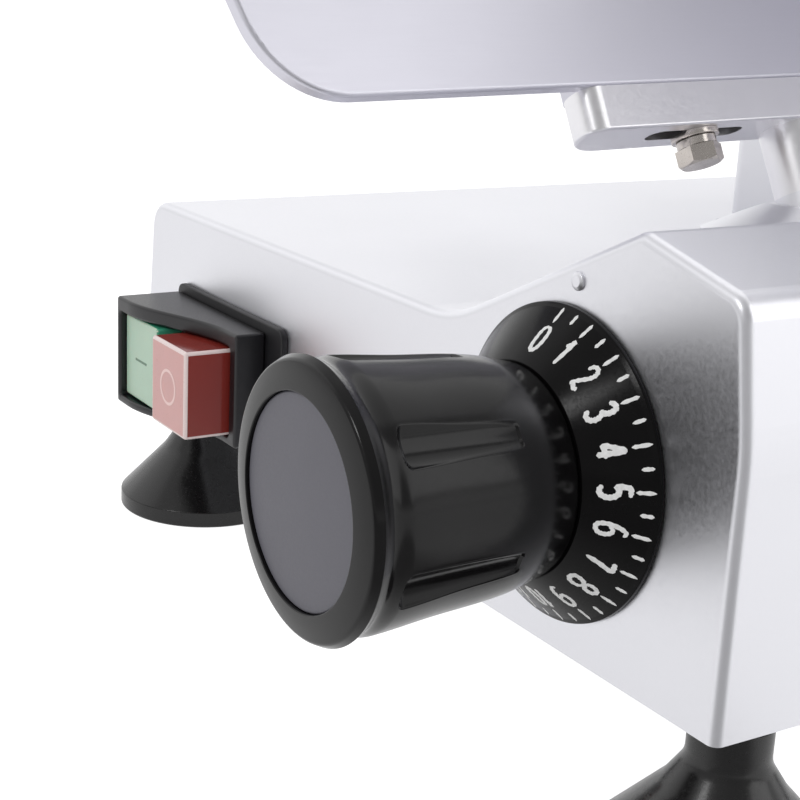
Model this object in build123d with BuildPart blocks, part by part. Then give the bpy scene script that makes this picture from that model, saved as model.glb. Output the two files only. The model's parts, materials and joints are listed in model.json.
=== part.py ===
from build123d import *
import math
import os

# Gravity feed meat slicer, made of separate pieces that move as on the real machine.
# Millimetres, +Z up. The origin is on the floor at the centre of the four feet.
# X runs to the operator's right and Y away from the operator.

# Shared clearances
over = 30.0
gap = 0.3
slip = 0.05
running = 0.03

# Feet
foot_span_x = 244.0
foot_span_y = 285.0
foot_height = 34.0
foot_base_radius = 26.5
foot_ring_height = 4.8
foot_waist_radius = 13.0
foot_waist_height = 19.0
foot_neck_radius = 8.6
foot_neck_height = 25.5
foot_recess_radius = 7.5
foot_recess_depth = 12.0
foot_screw_radius = 3.0
foot_screw_head_radius = 6.0
foot_screw_head_height = 4.0
foot_screw_grip = 18.0
foot_boss_radius = 9.0

# Base housing
foot_inset_y = 12.5
base_wall = 4.0
base_left_x = -142.0
base_right_x = 130.5
deck_left_x = -136.0
deck_height = 62.5
ramp_foot_x = 33.0
crest_x = 96.5
crest_height = 92.8
shoulder_x = 126.2
shoulder_height = 85.6
wall_break_height = 58.0
deck_corner_radius = 9.0
ramp_radius = 44.0
crest_radius = 4.0
shoulder_radius = 6.0
wall_break_radius = 60.0
base_edge_radius = 2.2
base_z = foot_height
deck_z = base_z + deck_height
crest_z = base_z + crest_height
shoulder_z = base_z + shoulder_height
wall_break_z = base_z + wall_break_height
front_y = -foot_span_y / 2 - foot_inset_y
back_y = -front_y
inner_front_y = front_y + base_wall
inner_back_y = back_y - base_wall

# Bottom cover and the small pan head screws
cover_sheet = 1.5
cover_recess = 0.5
small_screw_radius = 2.0
small_head_radius = 3.6
small_head_height = 2.2
small_screw_grip = 8.0
cover_boss_radius = 5.0
cover_boss_left_x = -120.0
cover_boss_inset_y = 65.0
cover_boss_front_x = 20.0
cover_boss_rear_x = 60.0
cover_boss_y = back_y - cover_boss_inset_y
cover_low_z = base_z + cover_recess
cover_top_z = cover_low_z + cover_sheet

# Thickness dial and knob
dial_x = 77.0
dial_rise = 40.75
dial_flange_radius = 33.7
dial_flange_depth = 1.2
dial_ridge_radius = 32.75
dial_ridge_depth = 1.86
dial_nose_radius = 22.65
dial_nose_depth = 11.58
dial_turn = 250.0
knob_rear_depth = 12.0
knob_rear_radius = 22.3
knob_throat_depth = 22.0
knob_throat_radius = 24.6
knob_waist_depth = 39.0
knob_waist_radius = 26.0
knob_shoulder_depth = 52.0
knob_shoulder_radius = 27.2
knob_groove_depth = 56.0
knob_groove_radius = 26.9
knob_rim_depth = 59.0
knob_rim_radius = 28.2
knob_edge_round = 0.9
edge_arc_share = 1.15
knob_front_depth = 62.0
knob_bore_depth = 46.0
knob_cap_radius = 21.34
knob_cap_depth = 2.8
knob_cap_inset = 0.7
knob_cap_thickness = 2.0
grip_count = 6
grip_turn_share = 0.61
grip_front_radius = 6.0
grip_rear_radius = 6.0
grip_corner_radius = 2.0
grip_length = 25.6
grip_front_depth = 51.0
grip_bite = 1.05
grip_rear_bite = 0.25
spindle_radius = 5.0
bush_radius = 9.0
bush_flange_radius = 12.0
bush_flange_thickness = 2.0
dial_z = base_z + dial_rise

# Scroll plate behind the dial and its follower
plate_travel = 16.8
scroll_radius = 32.0
scroll_thickness = 9.0
groove_depth = 5.0
groove_width = 6.0
groove_start_radius = 10.0
groove_lead_deg = 20.0
groove_tail_deg = 8.0
groove_steps = 14
follower_radius = 2.8
follower_tip_gap = 0.5
follower_grip = 10.0
scroll_front_y = inner_front_y + bush_flange_thickness + follower_tip_gap
scroll_back_y = scroll_front_y + scroll_thickness
follower_x = dial_x - groove_start_radius

# Index pin above the dial
index_pin_x = 78.9
index_pin_rise = 38.85
index_head_radius = 1.95
index_head_height = 0.8
index_shank_radius = 1.5

# Push button switch
switch_left_x = -110.6
switch_width = 57.5
switch_low_z = 40.4
switch_height = 32.3
switch_deep = 22.1
switch_shallow = 11.1
switch_step_start = 8.0
switch_step_end = 50.0
switch_side_rim = 2.0
switch_right_rim = 4.0
switch_low_rim = 2.4
switch_top_rim = 4.4
switch_edge_radius = 1.2
gasket_thickness = 2.0
gasket_left = 1.1
gasket_right = 9.1
gasket_low = 1.3
gasket_top = 2.5
gasket_corner = 3.0
switch_body_depth = 38.0
switch_body_front = 5.0
button_play = 0.4
button_travel = 3.0
start_width = 23.0
start_reach = 20.2
stop_width = 22.6
stop_reach = 24.0
divider_width = 2.6
divider_reach = 13.0
button_stem_radius = 3.0
button_stem_length = 12.0
button_edge_radius = 0.8
button_stem_play = 0.15

# Gauge plate, in the tilted plane of the blade
head_tilt = 27.0
gauge_lean = 1.8
plate_low_x = -1.14
plate_low_z = 142.2
plate_thickness = 4.0
plate_top_drop = 28.0
plate_near_y = -40.0
plate_heel_y = -27.0
plate_end_reach = 58.0
plate_knee_height = 56.0
plate_heel_radius = 26.0
plate_shoulder_radius = 60.0
plate_edge_radius = 1.2
plate_blade_gap = 3.0
rib_height = 14.0
rib_depth = 12.0
rib_start_y = 66.0
rib_end_y = 158.0

# Support arm under the gauge plate, its bolt and washers
bar_width = 18.5
bar_height = 11.8
bar_start_y = 61.5
bar_end_y = 160.0
bar_front_radius = 5.0
bar_back_radius = 13.0
bar_edge_radius = 0.8
bar_slot_length = 33.0
bar_slot_width = 7.0
post_y = 139.0
post_radius = 9.25
post_length = 19.8
gauge_bolt_y = 101.7
gauge_bolt_depth = 8.3
gauge_bolt_radius = 3.2
gauge_bolt_flats = 11.1
gauge_bolt_head = 4.9
gauge_bolt_grip = 8.0
flat_washer_radius = 6.6
flat_washer_thickness = 1.8
spring_washer_radius = 5.5
spring_washer_thickness = 2.4

# Gauge slide inside the base
gauge_bar_radius = 7.0
gauge_bar_z = 60.0
gauge_bar_reach_y = 119.0
gauge_bar_left_x = -60.0
gauge_bar_right_x = 48.0
gauge_bracket_width = 10.0
gauge_bracket_half_y = 10.0
gauge_bracket_top_z = 88.0
gauge_bracket_low_z = 52.5
slider_half_length = 30.0
slider_front_reach_y = 105.0
slider_back_reach_y = 151.0
slider_low_z = 42.0
slider_top_z = 76.0
slider_boss_radius = 11.0
slider_slot_play = 1.0
hump_radius = 29.0
hump_rim_height = 4.5
hump_top_radius = 12.5
hump_top_height = 13.5
hump_clearance = 1.5
seat_stub_length = 16.0
drag_link_width = 16.0
drag_link_height = 8.0
drag_tab_thickness = 10.0
drag_tab_top = 7.0
arm_bolt_radius = 4.0
arm_bolt_head_radius = 6.5
arm_bolt_head_height = 5.0
arm_bolt_grip = 8.0

# Head casting, blade and drive, in the tilted plane: distances behind the cutting plane
blade_radius = 110.0
blade_dip = 2.0
blade_reach_share = 0.72903
blade_rise = blade_radius - blade_dip
blade_reach_y = blade_reach_share * (back_y - front_y)
plate_height = blade_rise + blade_radius - plate_top_drop
blade_bevel_width = 6.0
blade_bevel_depth = 3.2
blade_dish_width = 22.0
blade_step_width = 1.5
blade_dish_radius = blade_radius - blade_dish_width
blade_face_depth = 1.2
blade_step_radius = blade_dish_radius - blade_step_width
blade_step_depth = 4.8
blade_hub_face = 6.0
blade_sheet = 3.0
hub_nose_radius = 12.0
hub_flange_radius = 30.0
hub_flange_thickness = 6.0
hub_shaft_radius = 8.5
hub_bore_radius = 5.0
hub_shaft_end = 75.0
blade_screw_circle_radius = 21.0
blade_screw_count = 4
blade_screw_radius = 2.5
blade_screw_head_radius = 4.6
blade_screw_head_height = 2.2
blade_screw_length = 8.0
pulley_front = 17.0
pulley_back = 31.0
blade_pulley_radius = 33.0
motor_pulley_radius = 16.0
pulley_flange = 2.0
pulley_groove = 1.5
belt_thickness = 3.0
motor_side_reach = 52.0
motor_level_height = 68.0
motor_drop_height = motor_level_height - blade_rise
motor_radius = 40.0
motor_back = 102.0
motor_wall = 7.0
rotor_radius = 28.0
rotor_play = 1.0
motor_shaft_radius = 5.0
motor_shaft_hole_radius = 9.0
dish_margin = 8.0
dish_radius = blade_radius - dish_margin
dish_wall = 6.0
dish_rim_front = 16.5
dish_plate_front = 34.5
dish_plate_back = 42.0
bearing_boss_radius = 24.0
bearing_boss_back = 78.0
bearing_radius = 17.5
bearing_width = 10.0
bearing_front = 36.0
bearing_rear_back = 75.0
bearing_shoulder = 2.5
pedestal_left_x = -64.0
pedestal_right_x = -11.0
pedestal_front_reach = 54.0
pedestal_length = 112.0
pedestal_top_z = 172.0
pedestal_wall = 6.0
pedestal_hollow_z = 128.0
pedestal_foot_length = 20.0
pedestal_edge_radius = 6.0
head_bolt_radius = 4.0
head_bolt_head_radius = 6.5
head_bolt_head_height = 5.0
head_bolt_grip = 16.0
head_bolt_inset_x = 14.0
head_bolt_inset_y = 10.0

# Motor cover
cover_wall = 2.5
cover_back = 106.0
cover_small_radius = 34.0
cover_large_radius = 47.0
cover_edge_radius = 6.0
cover_ear_radius = 7.0
cover_ear_thickness = 4.0
cover_ear_reach = 5.5
cover_ear_angles = (180.0, -126.9, 68.9)
vent_count = 5
vent_length = 42.0
vent_width = 3.0
vent_pitch = 9.0

# Ring guard, blade cover, tie rod and slice deflector
guard_width = 6.0
guard_clearance = 1.6
guard_web_width = 13.0
guard_radius = blade_radius + guard_width
guard_inner_radius = blade_radius + guard_clearance
guard_web_radius = blade_radius - guard_web_width
guard_web_thickness = 3.0
guard_front = 1.0
guard_start_deg = -84.0
guard_end_deg = 68.0
guard_screw_degs = (-60.0, -20.0, 20.0, 55.0)
guard_screw_inset = 10.7
guard_screw_radius = blade_radius - guard_screw_inset
disc_cover_margin = 4.0
disc_cover_radius = blade_dish_radius - disc_cover_margin
disc_cover_front = 0.8
disc_cover_rim = 3.4
disc_cover_crown = 2.0
tie_rod_radius = 4.0
tie_rod_tail = 16.0
tie_knob_radius = 13.0
tie_knob_length = 18.0
tie_knob_flutes = 8
tie_knob_flute_radius = 3.0
deflector_sheet = 1.5
deflector_front = 20.5
deflector_bend = 42.0
deflector_back = 88.0
deflector_flare = 26.0
deflector_half_height = 50.0

# Sharpener on top of the head
sharpener_half_width = 22.0
sharpener_rise = 38.0
sharpener_skirt = 12.0
sharpener_top = blade_radius + sharpener_rise
sharpener_low = blade_radius - sharpener_skirt
sharpener_rear = 38.0
sharpener_nose = 7.4
sharpener_slot_back = 17.0
sharpener_slot_front = 4.0
sharpener_slot_rise = 22.0
sharpener_slot_top = blade_radius + sharpener_slot_rise
sharpener_edge_radius = 4.0
stone_radius = 13.0
stone_front = 8.5
stone_thickness = 7.0
stone_overhang = 7.5
stone_rise = blade_radius + stone_overhang
stone_side_reach = 4.0
stone_spindle_radius = 3.0
stone_button_radius = 8.0
stone_button_length = 7.0
stone_button_gap = 5.5
guide_post_radius = 5.0
guide_post_height = 34.0
guide_post_side_reach = -12.0
guide_post_depth = 28.0

# Carriage slide
carriage_bar_radius = 10.0
carriage_bar_x = 98.0
carriage_bar_z = 62.0
carriage_bar_inset_y = 14.0
carriage_bracket_length = 10.0
carriage_bracket_half_x = 14.0
carriage_bracket_low_z = 48.0
carriage_bracket_top_z = 112.0
runner_length = 48.0
runner_half_width = 14.0
runner_half_height = 14.0
neck_half_length = 15.0
neck_half_height = 8.0
slot_play = 0.5
flange_thickness = 8.0
flange_half_length = 20.0
flange_half_height = 14.0
flange_wall_gap = 1.0
arm_thickness = 16.0
arm_foot_width = 22.0
arm_foot_half_length = 18.0
arm_foot_half_height = 17.0
arm_top_half_length = 35.0
arm_top_inner = 95.0
arm_top_outer = 190.0
arm_top_thickness = 6.0
arm_elbow_z = 130.0
arm_seat_inner = 116.0
arm_seat_outer = 142.0
lock_knob_radius = 15.0
lock_knob_length = 20.0
lock_stud_radius = 5.0
lock_stud_grip = 18.0
lock_knob_lobes = 5
lock_lobe_radius = 5.0

# Product tray, fence and handle: distances out from the cutting plane and up the slope normal
tray_gap = 2.0
tray_width = 198.0
tray_low = 4.0
tray_thickness = 4.0
tray_length = 190.0
tray_near_reach = 77.0
tray_lip_height = 22.0
tray_lip = 4.0
tray_far_lip_height = 12.0
tray_corner_radius = 10.0
tray_groove_count = 13
tray_groove_depth = 0.8
tray_groove_width = 2.0
fence_thickness = 4.0
fence_height = 116.0
fence_width = 190.0
fence_corner_radius = 30.0
lug_reach = 24.0
lug_width = 9.0
lug_radius = 12.0
handle_ear = 28.0
handle_ear_length = 30.0
handle_reach = 213.0
handle_inset = 15.0
handle_stud_radius = 4.0
handle_bulge_share = 0.38
handle_neck_share = 0.74
handle_height = 104.0
handle_radius = 14.0
handle_waist_radius = 10.5
handle_foot_radius = 12.0
handle_ball_radius = 15.0

# Last slice pusher on its rod
rod_radius = 6.0
rod_stand_off = 18.0
rod_height = 96.0
rod_start_reach = 3.0
rod_end_reach = 186.0
bush_wall = 3.0
pusher_bush_length = 28.0
pusher_start_reach = 24.0
pusher_hub_radius = 14.0
pusher_arm_width = 16.0
pusher_arm_height = 132.0
pusher_arm_thickness = 10.0
pusher_arm_reach = 88.0
pusher_plate_width = 112.0
pusher_plate_height = 78.0
pusher_plate_low = 14.0
pusher_plate_thickness = 4.0
pusher_plate_back = 17.0
pusher_corner_radius = 12.0
spike_rows = 3
spike_columns = 5
spike_pitch = 20.0
spike_radius = 1.6
spike_length = 5.0
pusher_knob_radius = 12.0
knob_rise_share = 1.2

# Cable gland
gland_x = -90.0
gland_rise = 21.0
gland_radius = 9.0
gland_bore_radius = 3.6
gland_length = 24.0
gland_thread_radius = 7.0
gland_flats = 20.0
gland_nut = 6.0


def across(y):
    """Upright plane across the machine at y, facing the operator."""
    return Plane.XZ.offset(-y)


def turned(section, axis, outline):
    """Turn a closed outline of radius and height about an axis."""
    with BuildSketch(section) as profile:
        with BuildLine():
            Polyline(*outline, close=True)
        make_face()
    revolve(profile.sketch, axis=axis)


def box_between(low, high, mode=Mode.ADD):
    """Box between two opposite corners."""
    size = [b - a for a, b in zip(low, high)]
    middle = tuple((a + b) / 2 for a, b in zip(low, high))
    with Locations(middle):
        Box(*size, mode=mode)


def rod_along(plane, radius, length, mode=Mode.ADD):
    """Round bar that starts on a plane and runs along its normal."""
    with BuildSketch(plane) as profile:
        Circle(radius)
    extrude(profile.sketch, amount=length, mode=mode)


# Planes of the turned pieces
dial_section = Plane(origin=(dial_x, front_y, dial_z), x_dir=(1, 0, 0), z_dir=(0, 0, -1))
dial_axis = Axis((dial_x, front_y, dial_z), (0, -1, 0))
tilt = math.radians(head_tilt)
outward = Vector(math.cos(tilt), 0, math.sin(tilt))
upward = Vector(-math.sin(tilt), 0, math.cos(tilt))
face = Plane(origin=(plate_low_x, front_y, plate_low_z), x_dir=(0, 1, 0), z_dir=outward)
lean = math.radians(gauge_lean)
gauge_along = math.cos(lean) * Vector(0, 1, 0) + math.sin(lean) * upward
gauge_up = math.cos(lean) * upward - math.sin(lean) * Vector(0, 1, 0)
gauge = Plane(origin=face.origin, x_dir=gauge_along, z_dir=outward)
head = Plane(origin=face.from_local_coords((blade_reach_y, blade_rise, 0)), x_dir=(0, 1, 0), z_dir=outward)
head_section = Plane(origin=head.origin, x_dir=(0, 1, 0), z_dir=-upward)
head_axis = Axis(head.origin, outward)
tray_plane = Plane(origin=(plate_low_x, 0, plate_low_z), x_dir=outward, z_dir=upward)
foot_places = [
    (-foot_span_x / 2, -foot_span_y / 2),
    (foot_span_x / 2, -foot_span_y / 2),
    (-foot_span_x / 2, foot_span_y / 2),
    (foot_span_x / 2, foot_span_y / 2),
]
cover_screw_places = [
    (cover_boss_left_x, -cover_boss_y),
    (cover_boss_left_x, cover_boss_y),
    (cover_boss_front_x, -cover_boss_y),
    (cover_boss_rear_x, cover_boss_y),
]

# Shared places
base_outline = [
    (base_left_x, base_z),
    (deck_left_x, deck_z),
    (ramp_foot_x, deck_z),
    (crest_x, crest_z),
    (shoulder_x, shoulder_z),
    (base_right_x, wall_break_z),
    (base_right_x, base_z),
]
base_corner_radii = [
    0,
    deck_corner_radius,
    ramp_radius,
    crest_radius,
    shoulder_radius,
    wall_break_radius,
    0,
]
seat_local = (post_y, -bar_height - post_length, -bar_width / 2)
seat_point = gauge.from_local_coords(seat_local)
slider_x = seat_point.X
boss_y = seat_point.Y
gauge_bar_y = front_y + gauge_bar_reach_y
slider_front_y = front_y + slider_front_reach_y
slider_back_y = front_y + slider_back_reach_y
runner_y = inner_back_y - carriage_bracket_length - runner_length / 2
carriage_bar_front_y = inner_front_y + carriage_bar_inset_y
carriage_stroke = runner_y - runner_length / 2 - carriage_bar_front_y - carriage_bracket_length
tray_near_y = runner_y - tray_near_reach
handle_middle_y = tray_near_y + handle_inset
bar_half = bar_width / 2
pedestal_front_y = front_y + blade_reach_y - pedestal_front_reach
pedestal_back_y = pedestal_front_y + pedestal_length
head_bolt_places = [
    (x, y)
    for x in (pedestal_left_x + head_bolt_inset_x, pedestal_right_x - head_bolt_inset_x)
    for y in (pedestal_front_y + head_bolt_inset_y, pedestal_back_y - head_bolt_inset_y)
]
window_left_x = switch_left_x + switch_side_rim
window_right_x = switch_left_x + switch_width - switch_right_rim
window_low_z = switch_low_z + switch_low_rim
window_high_z = switch_low_z + switch_height - switch_top_rim
gland_z = base_z + gland_rise
cover_circles = [
    ((0, 0), cover_small_radius),
    ((motor_side_reach, motor_drop_height), cover_large_radius),
    ((motor_side_reach, motor_drop_height), cover_large_radius),
]
cover_ears = []
for angle, (root, root_radius) in zip(cover_ear_angles, cover_circles):
    ear_reach = root_radius + cover_ear_reach
    cover_ears.append(
        (
            root[0] + ear_reach * math.cos(math.radians(angle)),
            root[1] + ear_reach * math.sin(math.radians(angle)),
        )
    )

pieces = {}

# Feet
foot_outline = [
    (foot_recess_radius, 0),
    (foot_base_radius, 0),
    (foot_base_radius, foot_ring_height),
    (foot_waist_radius, foot_waist_height),
    (foot_neck_radius, foot_neck_height),
    (foot_neck_radius, foot_height),
    (foot_screw_radius + slip, foot_height),
    (foot_screw_radius + slip, foot_recess_depth),
    (foot_recess_radius, foot_recess_depth),
]
with BuildPart() as rubber_feet:
    for foot_x, foot_y in foot_places:
        foot_plane = Plane(origin=(foot_x, foot_y, 0), x_dir=(1, 0, 0), z_dir=(0, -1, 0))
        turned(foot_plane, Axis((foot_x, foot_y, 0), (0, 0, 1)), foot_outline)
pieces["rubber_feet"] = rubber_feet

with BuildPart() as foot_screws:
    with BuildSketch(Plane.XY.offset(foot_recess_depth)):
        with Locations(*foot_places):
            Circle(foot_screw_head_radius)
    extrude(amount=-foot_screw_head_height)
    with BuildSketch(Plane.XY.offset(foot_recess_depth)):
        with Locations(*foot_places):
            Circle(foot_screw_radius)
    extrude(amount=foot_height - foot_recess_depth + foot_screw_grip)
pieces["foot_screws"] = foot_screws

# Hollow of the base, with the bosses and pads left standing in it
with BuildPart() as hollow:
    with BuildSketch(across(inner_front_y)):
        with BuildLine():
            FilletPolyline(*base_outline, radius=base_corner_radii, close=True)
        make_face()
        offset(amount=-base_wall, kind=Kind.ARC)
    extrude(amount=inner_front_y - inner_back_y)
    box_between(
        (base_left_x + base_wall, inner_front_y, base_z - over),
        (base_right_x - base_wall, inner_back_y, base_z + base_wall),
    )
    with BuildSketch(Plane.XY.offset(base_z - over)):
        with Locations(*foot_places):
            Circle(foot_boss_radius)
    extrude(amount=crest_height + 2 * over, mode=Mode.SUBTRACT)
    with BuildSketch(Plane.XY.offset(cover_top_z)):
        with Locations(*cover_screw_places):
            Circle(cover_boss_radius)
    extrude(amount=crest_height + over, mode=Mode.SUBTRACT)
    for pad_x in (gauge_bar_left_x, gauge_bar_right_x - gauge_bracket_width):
        box_between(
            (pad_x, gauge_bar_y - gauge_bracket_half_y, gauge_bracket_top_z),
            (pad_x + gauge_bracket_width, gauge_bar_y + gauge_bracket_half_y, crest_z + over),
            mode=Mode.SUBTRACT,
        )
    for pad_y in (carriage_bar_front_y, inner_back_y - carriage_bracket_length):
        box_between(
            (carriage_bar_x - carriage_bracket_half_x, pad_y, carriage_bracket_top_z),
            (carriage_bar_x + carriage_bracket_half_x, pad_y + carriage_bracket_length, crest_z + over),
            mode=Mode.SUBTRACT,
        )

with BuildPart() as base_housing:
    with BuildSketch(across(front_y)):
        with BuildLine():
            FilletPolyline(*base_outline, radius=base_corner_radii, close=True)
        make_face()
    extrude(amount=front_y - back_y)
    for end_face in (base_housing.faces().sort_by(Axis.Y)[0], base_housing.faces().sort_by(Axis.Y)[-1]):
        rim_edges = end_face.edges().sort_by(Axis.Z)[1:]
        fillet(rim_edges, radius=base_edge_radius)
    add(hollow.part, mode=Mode.SUBTRACT)
    # Bore of the spindle bush, hole of the index pin and window of the switch
    with Locations(Plane(origin=(dial_x, front_y, dial_z), z_dir=(0, -1, 0))):
        Hole(bush_radius + slip, depth=base_wall + gap)
    with Locations(Plane(origin=(index_pin_x, front_y, dial_z + index_pin_rise), z_dir=(0, -1, 0))):
        Hole(index_shank_radius + slip, depth=base_wall + gap)
    box_between(
        (window_left_x, front_y - over, window_low_z),
        (window_right_x, front_y + base_wall + gap, window_high_z),
        mode=Mode.SUBTRACT,
    )
    # Slot in the deck for the gauge boss
    slot_half = slider_boss_radius + slider_slot_play
    box_between(
        (slider_x - slot_half - plate_travel, boss_y - slot_half, deck_z - base_wall - gap),
        (slider_x + slot_half, boss_y + slot_half, deck_z + over),
        mode=Mode.SUBTRACT,
    )
    # Slot in the right wall for the carriage neck
    box_between(
        (
            base_right_x - base_wall - shoulder_radius,
            runner_y - carriage_stroke - neck_half_length - 2 * slot_play,
            carriage_bar_z - neck_half_height - slot_play,
        ),
        (
            base_right_x + over,
            runner_y + neck_half_length + 2 * slot_play,
            carriage_bar_z + neck_half_height + slot_play,
        ),
        mode=Mode.SUBTRACT,
    )
    # Holes for the head bolts, foot screws, cover screws and cable gland
    with BuildSketch(Plane.XY.offset(deck_z + over)):
        with Locations(*head_bolt_places):
            Circle(head_bolt_radius + slip)
    extrude(amount=-over - base_wall - gap, mode=Mode.SUBTRACT)
    with BuildSketch(Plane.XY.offset(base_z)):
        with Locations(*foot_places):
            Circle(foot_screw_radius + slip)
    extrude(amount=foot_screw_grip + gap, mode=Mode.SUBTRACT)
    with BuildSketch(Plane.XY.offset(cover_top_z)):
        with Locations(*cover_screw_places):
            Circle(small_screw_radius + slip)
    extrude(amount=small_screw_grip + gap, mode=Mode.SUBTRACT)
    with Locations(Plane(origin=(gland_x, back_y, gland_z), z_dir=(0, 1, 0))):
        Hole(gland_thread_radius + slip, depth=base_wall + gap)
pieces["base_housing"] = base_housing

with BuildPart() as bottom_cover:
    box_between(
        (base_left_x + base_wall + gap, inner_front_y + gap, cover_low_z),
        (base_right_x - base_wall - gap, inner_back_y - gap, cover_top_z),
    )
    with BuildSketch(Plane.XY.offset(cover_low_z)):
        with Locations(*foot_places):
            Circle(foot_boss_radius + gap)
        with Locations(*cover_screw_places):
            Circle(small_screw_radius + slip)
    extrude(amount=cover_sheet, mode=Mode.SUBTRACT)
pieces["bottom_cover"] = bottom_cover

# Cable gland
with BuildPart() as cable_gland:
    gland_plane = Plane(origin=(gland_x, back_y, gland_z), x_dir=(1, 0, 0), z_dir=(0, 1, 0))
    with BuildSketch(gland_plane):
        RegularPolygon(gland_flats / 2, 6, major_radius=False)
    extrude(amount=gland_nut)
    rod_along(gland_plane, gland_radius, gland_length)
    fillet(cable_gland.edges().filter_by(GeomType.CIRCLE).sort_by(Axis.Y)[-1], radius=cover_sheet)
    rod_along(gland_plane, gland_thread_radius, -base_wall - gland_nut)
    rod_along(gland_plane.offset(-over), gland_bore_radius, 2 * over, mode=Mode.SUBTRACT)
pieces["cable_gland"] = cable_gland

# Switch
with BuildPart() as switch_gasket:
    with BuildSketch(across(front_y)):
        gasket_middle_x = switch_left_x + (switch_width + gasket_right - gasket_left) / 2
        gasket_middle_z = switch_low_z + (switch_height + gasket_top - gasket_low) / 2
        gasket_width = switch_width + gasket_left + gasket_right
        gasket_height = switch_height + gasket_low + gasket_top
        with Locations((gasket_middle_x, gasket_middle_z)):
            RectangleRounded(gasket_width, gasket_height, gasket_corner)
        with Locations(((window_left_x + window_right_x) / 2, (window_low_z + window_high_z) / 2)):
            Rectangle(window_right_x - window_left_x, window_high_z - window_low_z, mode=Mode.SUBTRACT)
    extrude(amount=gasket_thickness)
pieces["switch_gasket"] = switch_gasket

with BuildPart() as switch_bezel:
    with BuildSketch(Plane.XY.offset(switch_low_z)):
        with BuildLine():
            seat_y = front_y - gasket_thickness
            deep_y = front_y - switch_deep
            shallow_y = front_y - switch_shallow
            step_a = (switch_left_x + switch_step_start, deep_y)
            step_b = (switch_left_x + switch_step_end, shallow_y)
            right_x = switch_left_x + switch_width
            Polyline(
                step_b,
                (right_x, shallow_y),
                (right_x, seat_y),
                (switch_left_x, seat_y),
                (switch_left_x, deep_y),
                step_a,
            )
            Spline(step_a, step_b, tangents=((1, 0), (1, 0)))
        make_face()
    extrude(amount=switch_height)
    for side in (0, -1):
        front_corner = switch_bezel.edges().filter_by(Axis.Z).group_by(Axis.X)[side].sort_by(Axis.Y)[0]
        fillet(front_corner, radius=switch_edge_radius)
    box_between(
        (window_left_x, front_y - switch_deep - over, window_low_z),
        (window_right_x, front_y, window_high_z),
        mode=Mode.SUBTRACT,
    )
    divider_left_x = window_left_x + 2 * button_play + start_width
    box_between(
        (divider_left_x, front_y - divider_reach, window_low_z),
        (divider_left_x + divider_width, front_y - switch_body_front - gap, window_high_z),
    )
pieces["switch_bezel"] = switch_bezel

start_left_x = window_left_x + button_play
stop_left_x = window_right_x - button_play - stop_width
button_low_z = window_low_z + button_play
button_high_z = window_high_z - button_play
button_middle_z = (window_low_z + window_high_z) / 2
button_back = switch_body_front + button_travel + gap
stem_places = [start_left_x + start_width / 2, stop_left_x + stop_width / 2]

with BuildPart() as switch_body:
    box_between(
        (window_left_x + gap, front_y - switch_body_front, window_low_z + gap),
        (window_right_x - gap, front_y + switch_body_depth, window_high_z - gap),
    )
    for stem_x in stem_places:
        stem_plane = Plane(origin=(stem_x, front_y - switch_body_front, button_middle_z), z_dir=(0, 1, 0))
        stem_room = button_stem_length + button_travel
        rod_along(stem_plane, button_stem_radius + button_stem_play, stem_room, mode=Mode.SUBTRACT)
pieces["switch_body"] = switch_body

buttons = [
    ("start_button", start_left_x, start_width, start_reach),
    ("stop_button", stop_left_x, stop_width, stop_reach),
]
for label, left_x, width, reach in buttons:
    with BuildPart() as button:
        box_between(
            (left_x, front_y - reach, button_low_z),
            (left_x + width, front_y - button_back, button_high_z),
        )
        fillet(button.faces().sort_by(Axis.Y)[0].edges(), radius=button_edge_radius)
        stem_foot = (left_x + width / 2, front_y - button_back, button_middle_z)
        stem_plane = Plane(origin=stem_foot, z_dir=(0, 1, 0))
        rod_along(stem_plane, button_stem_radius, button_stem_length)
    pieces[label] = button

# Index pin
with BuildPart() as index_pin:
    pin_plane = Plane(origin=(index_pin_x, front_y, dial_z + index_pin_rise), z_dir=(0, -1, 0))
    rod_along(pin_plane, index_head_radius, index_head_height)
    fillet(index_pin.edges().sort_by(Axis.Y)[0], radius=index_head_height / 2)
    rod_along(pin_plane, index_shank_radius, -base_wall)
pieces["index_pin"] = index_pin

# Dial, knob, spindle and bush
with BuildPart() as dial_ring:
    dial_outline = [
        (spindle_radius + slip, gap),
        (dial_flange_radius, gap),
        (dial_flange_radius, dial_flange_depth),
        (dial_ridge_radius, dial_ridge_depth),
        (dial_nose_radius, dial_nose_depth),
        (spindle_radius + slip, dial_nose_depth),
    ]
    turned(dial_section, dial_axis, dial_outline)
pieces["dial_ring"] = dial_ring

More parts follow.
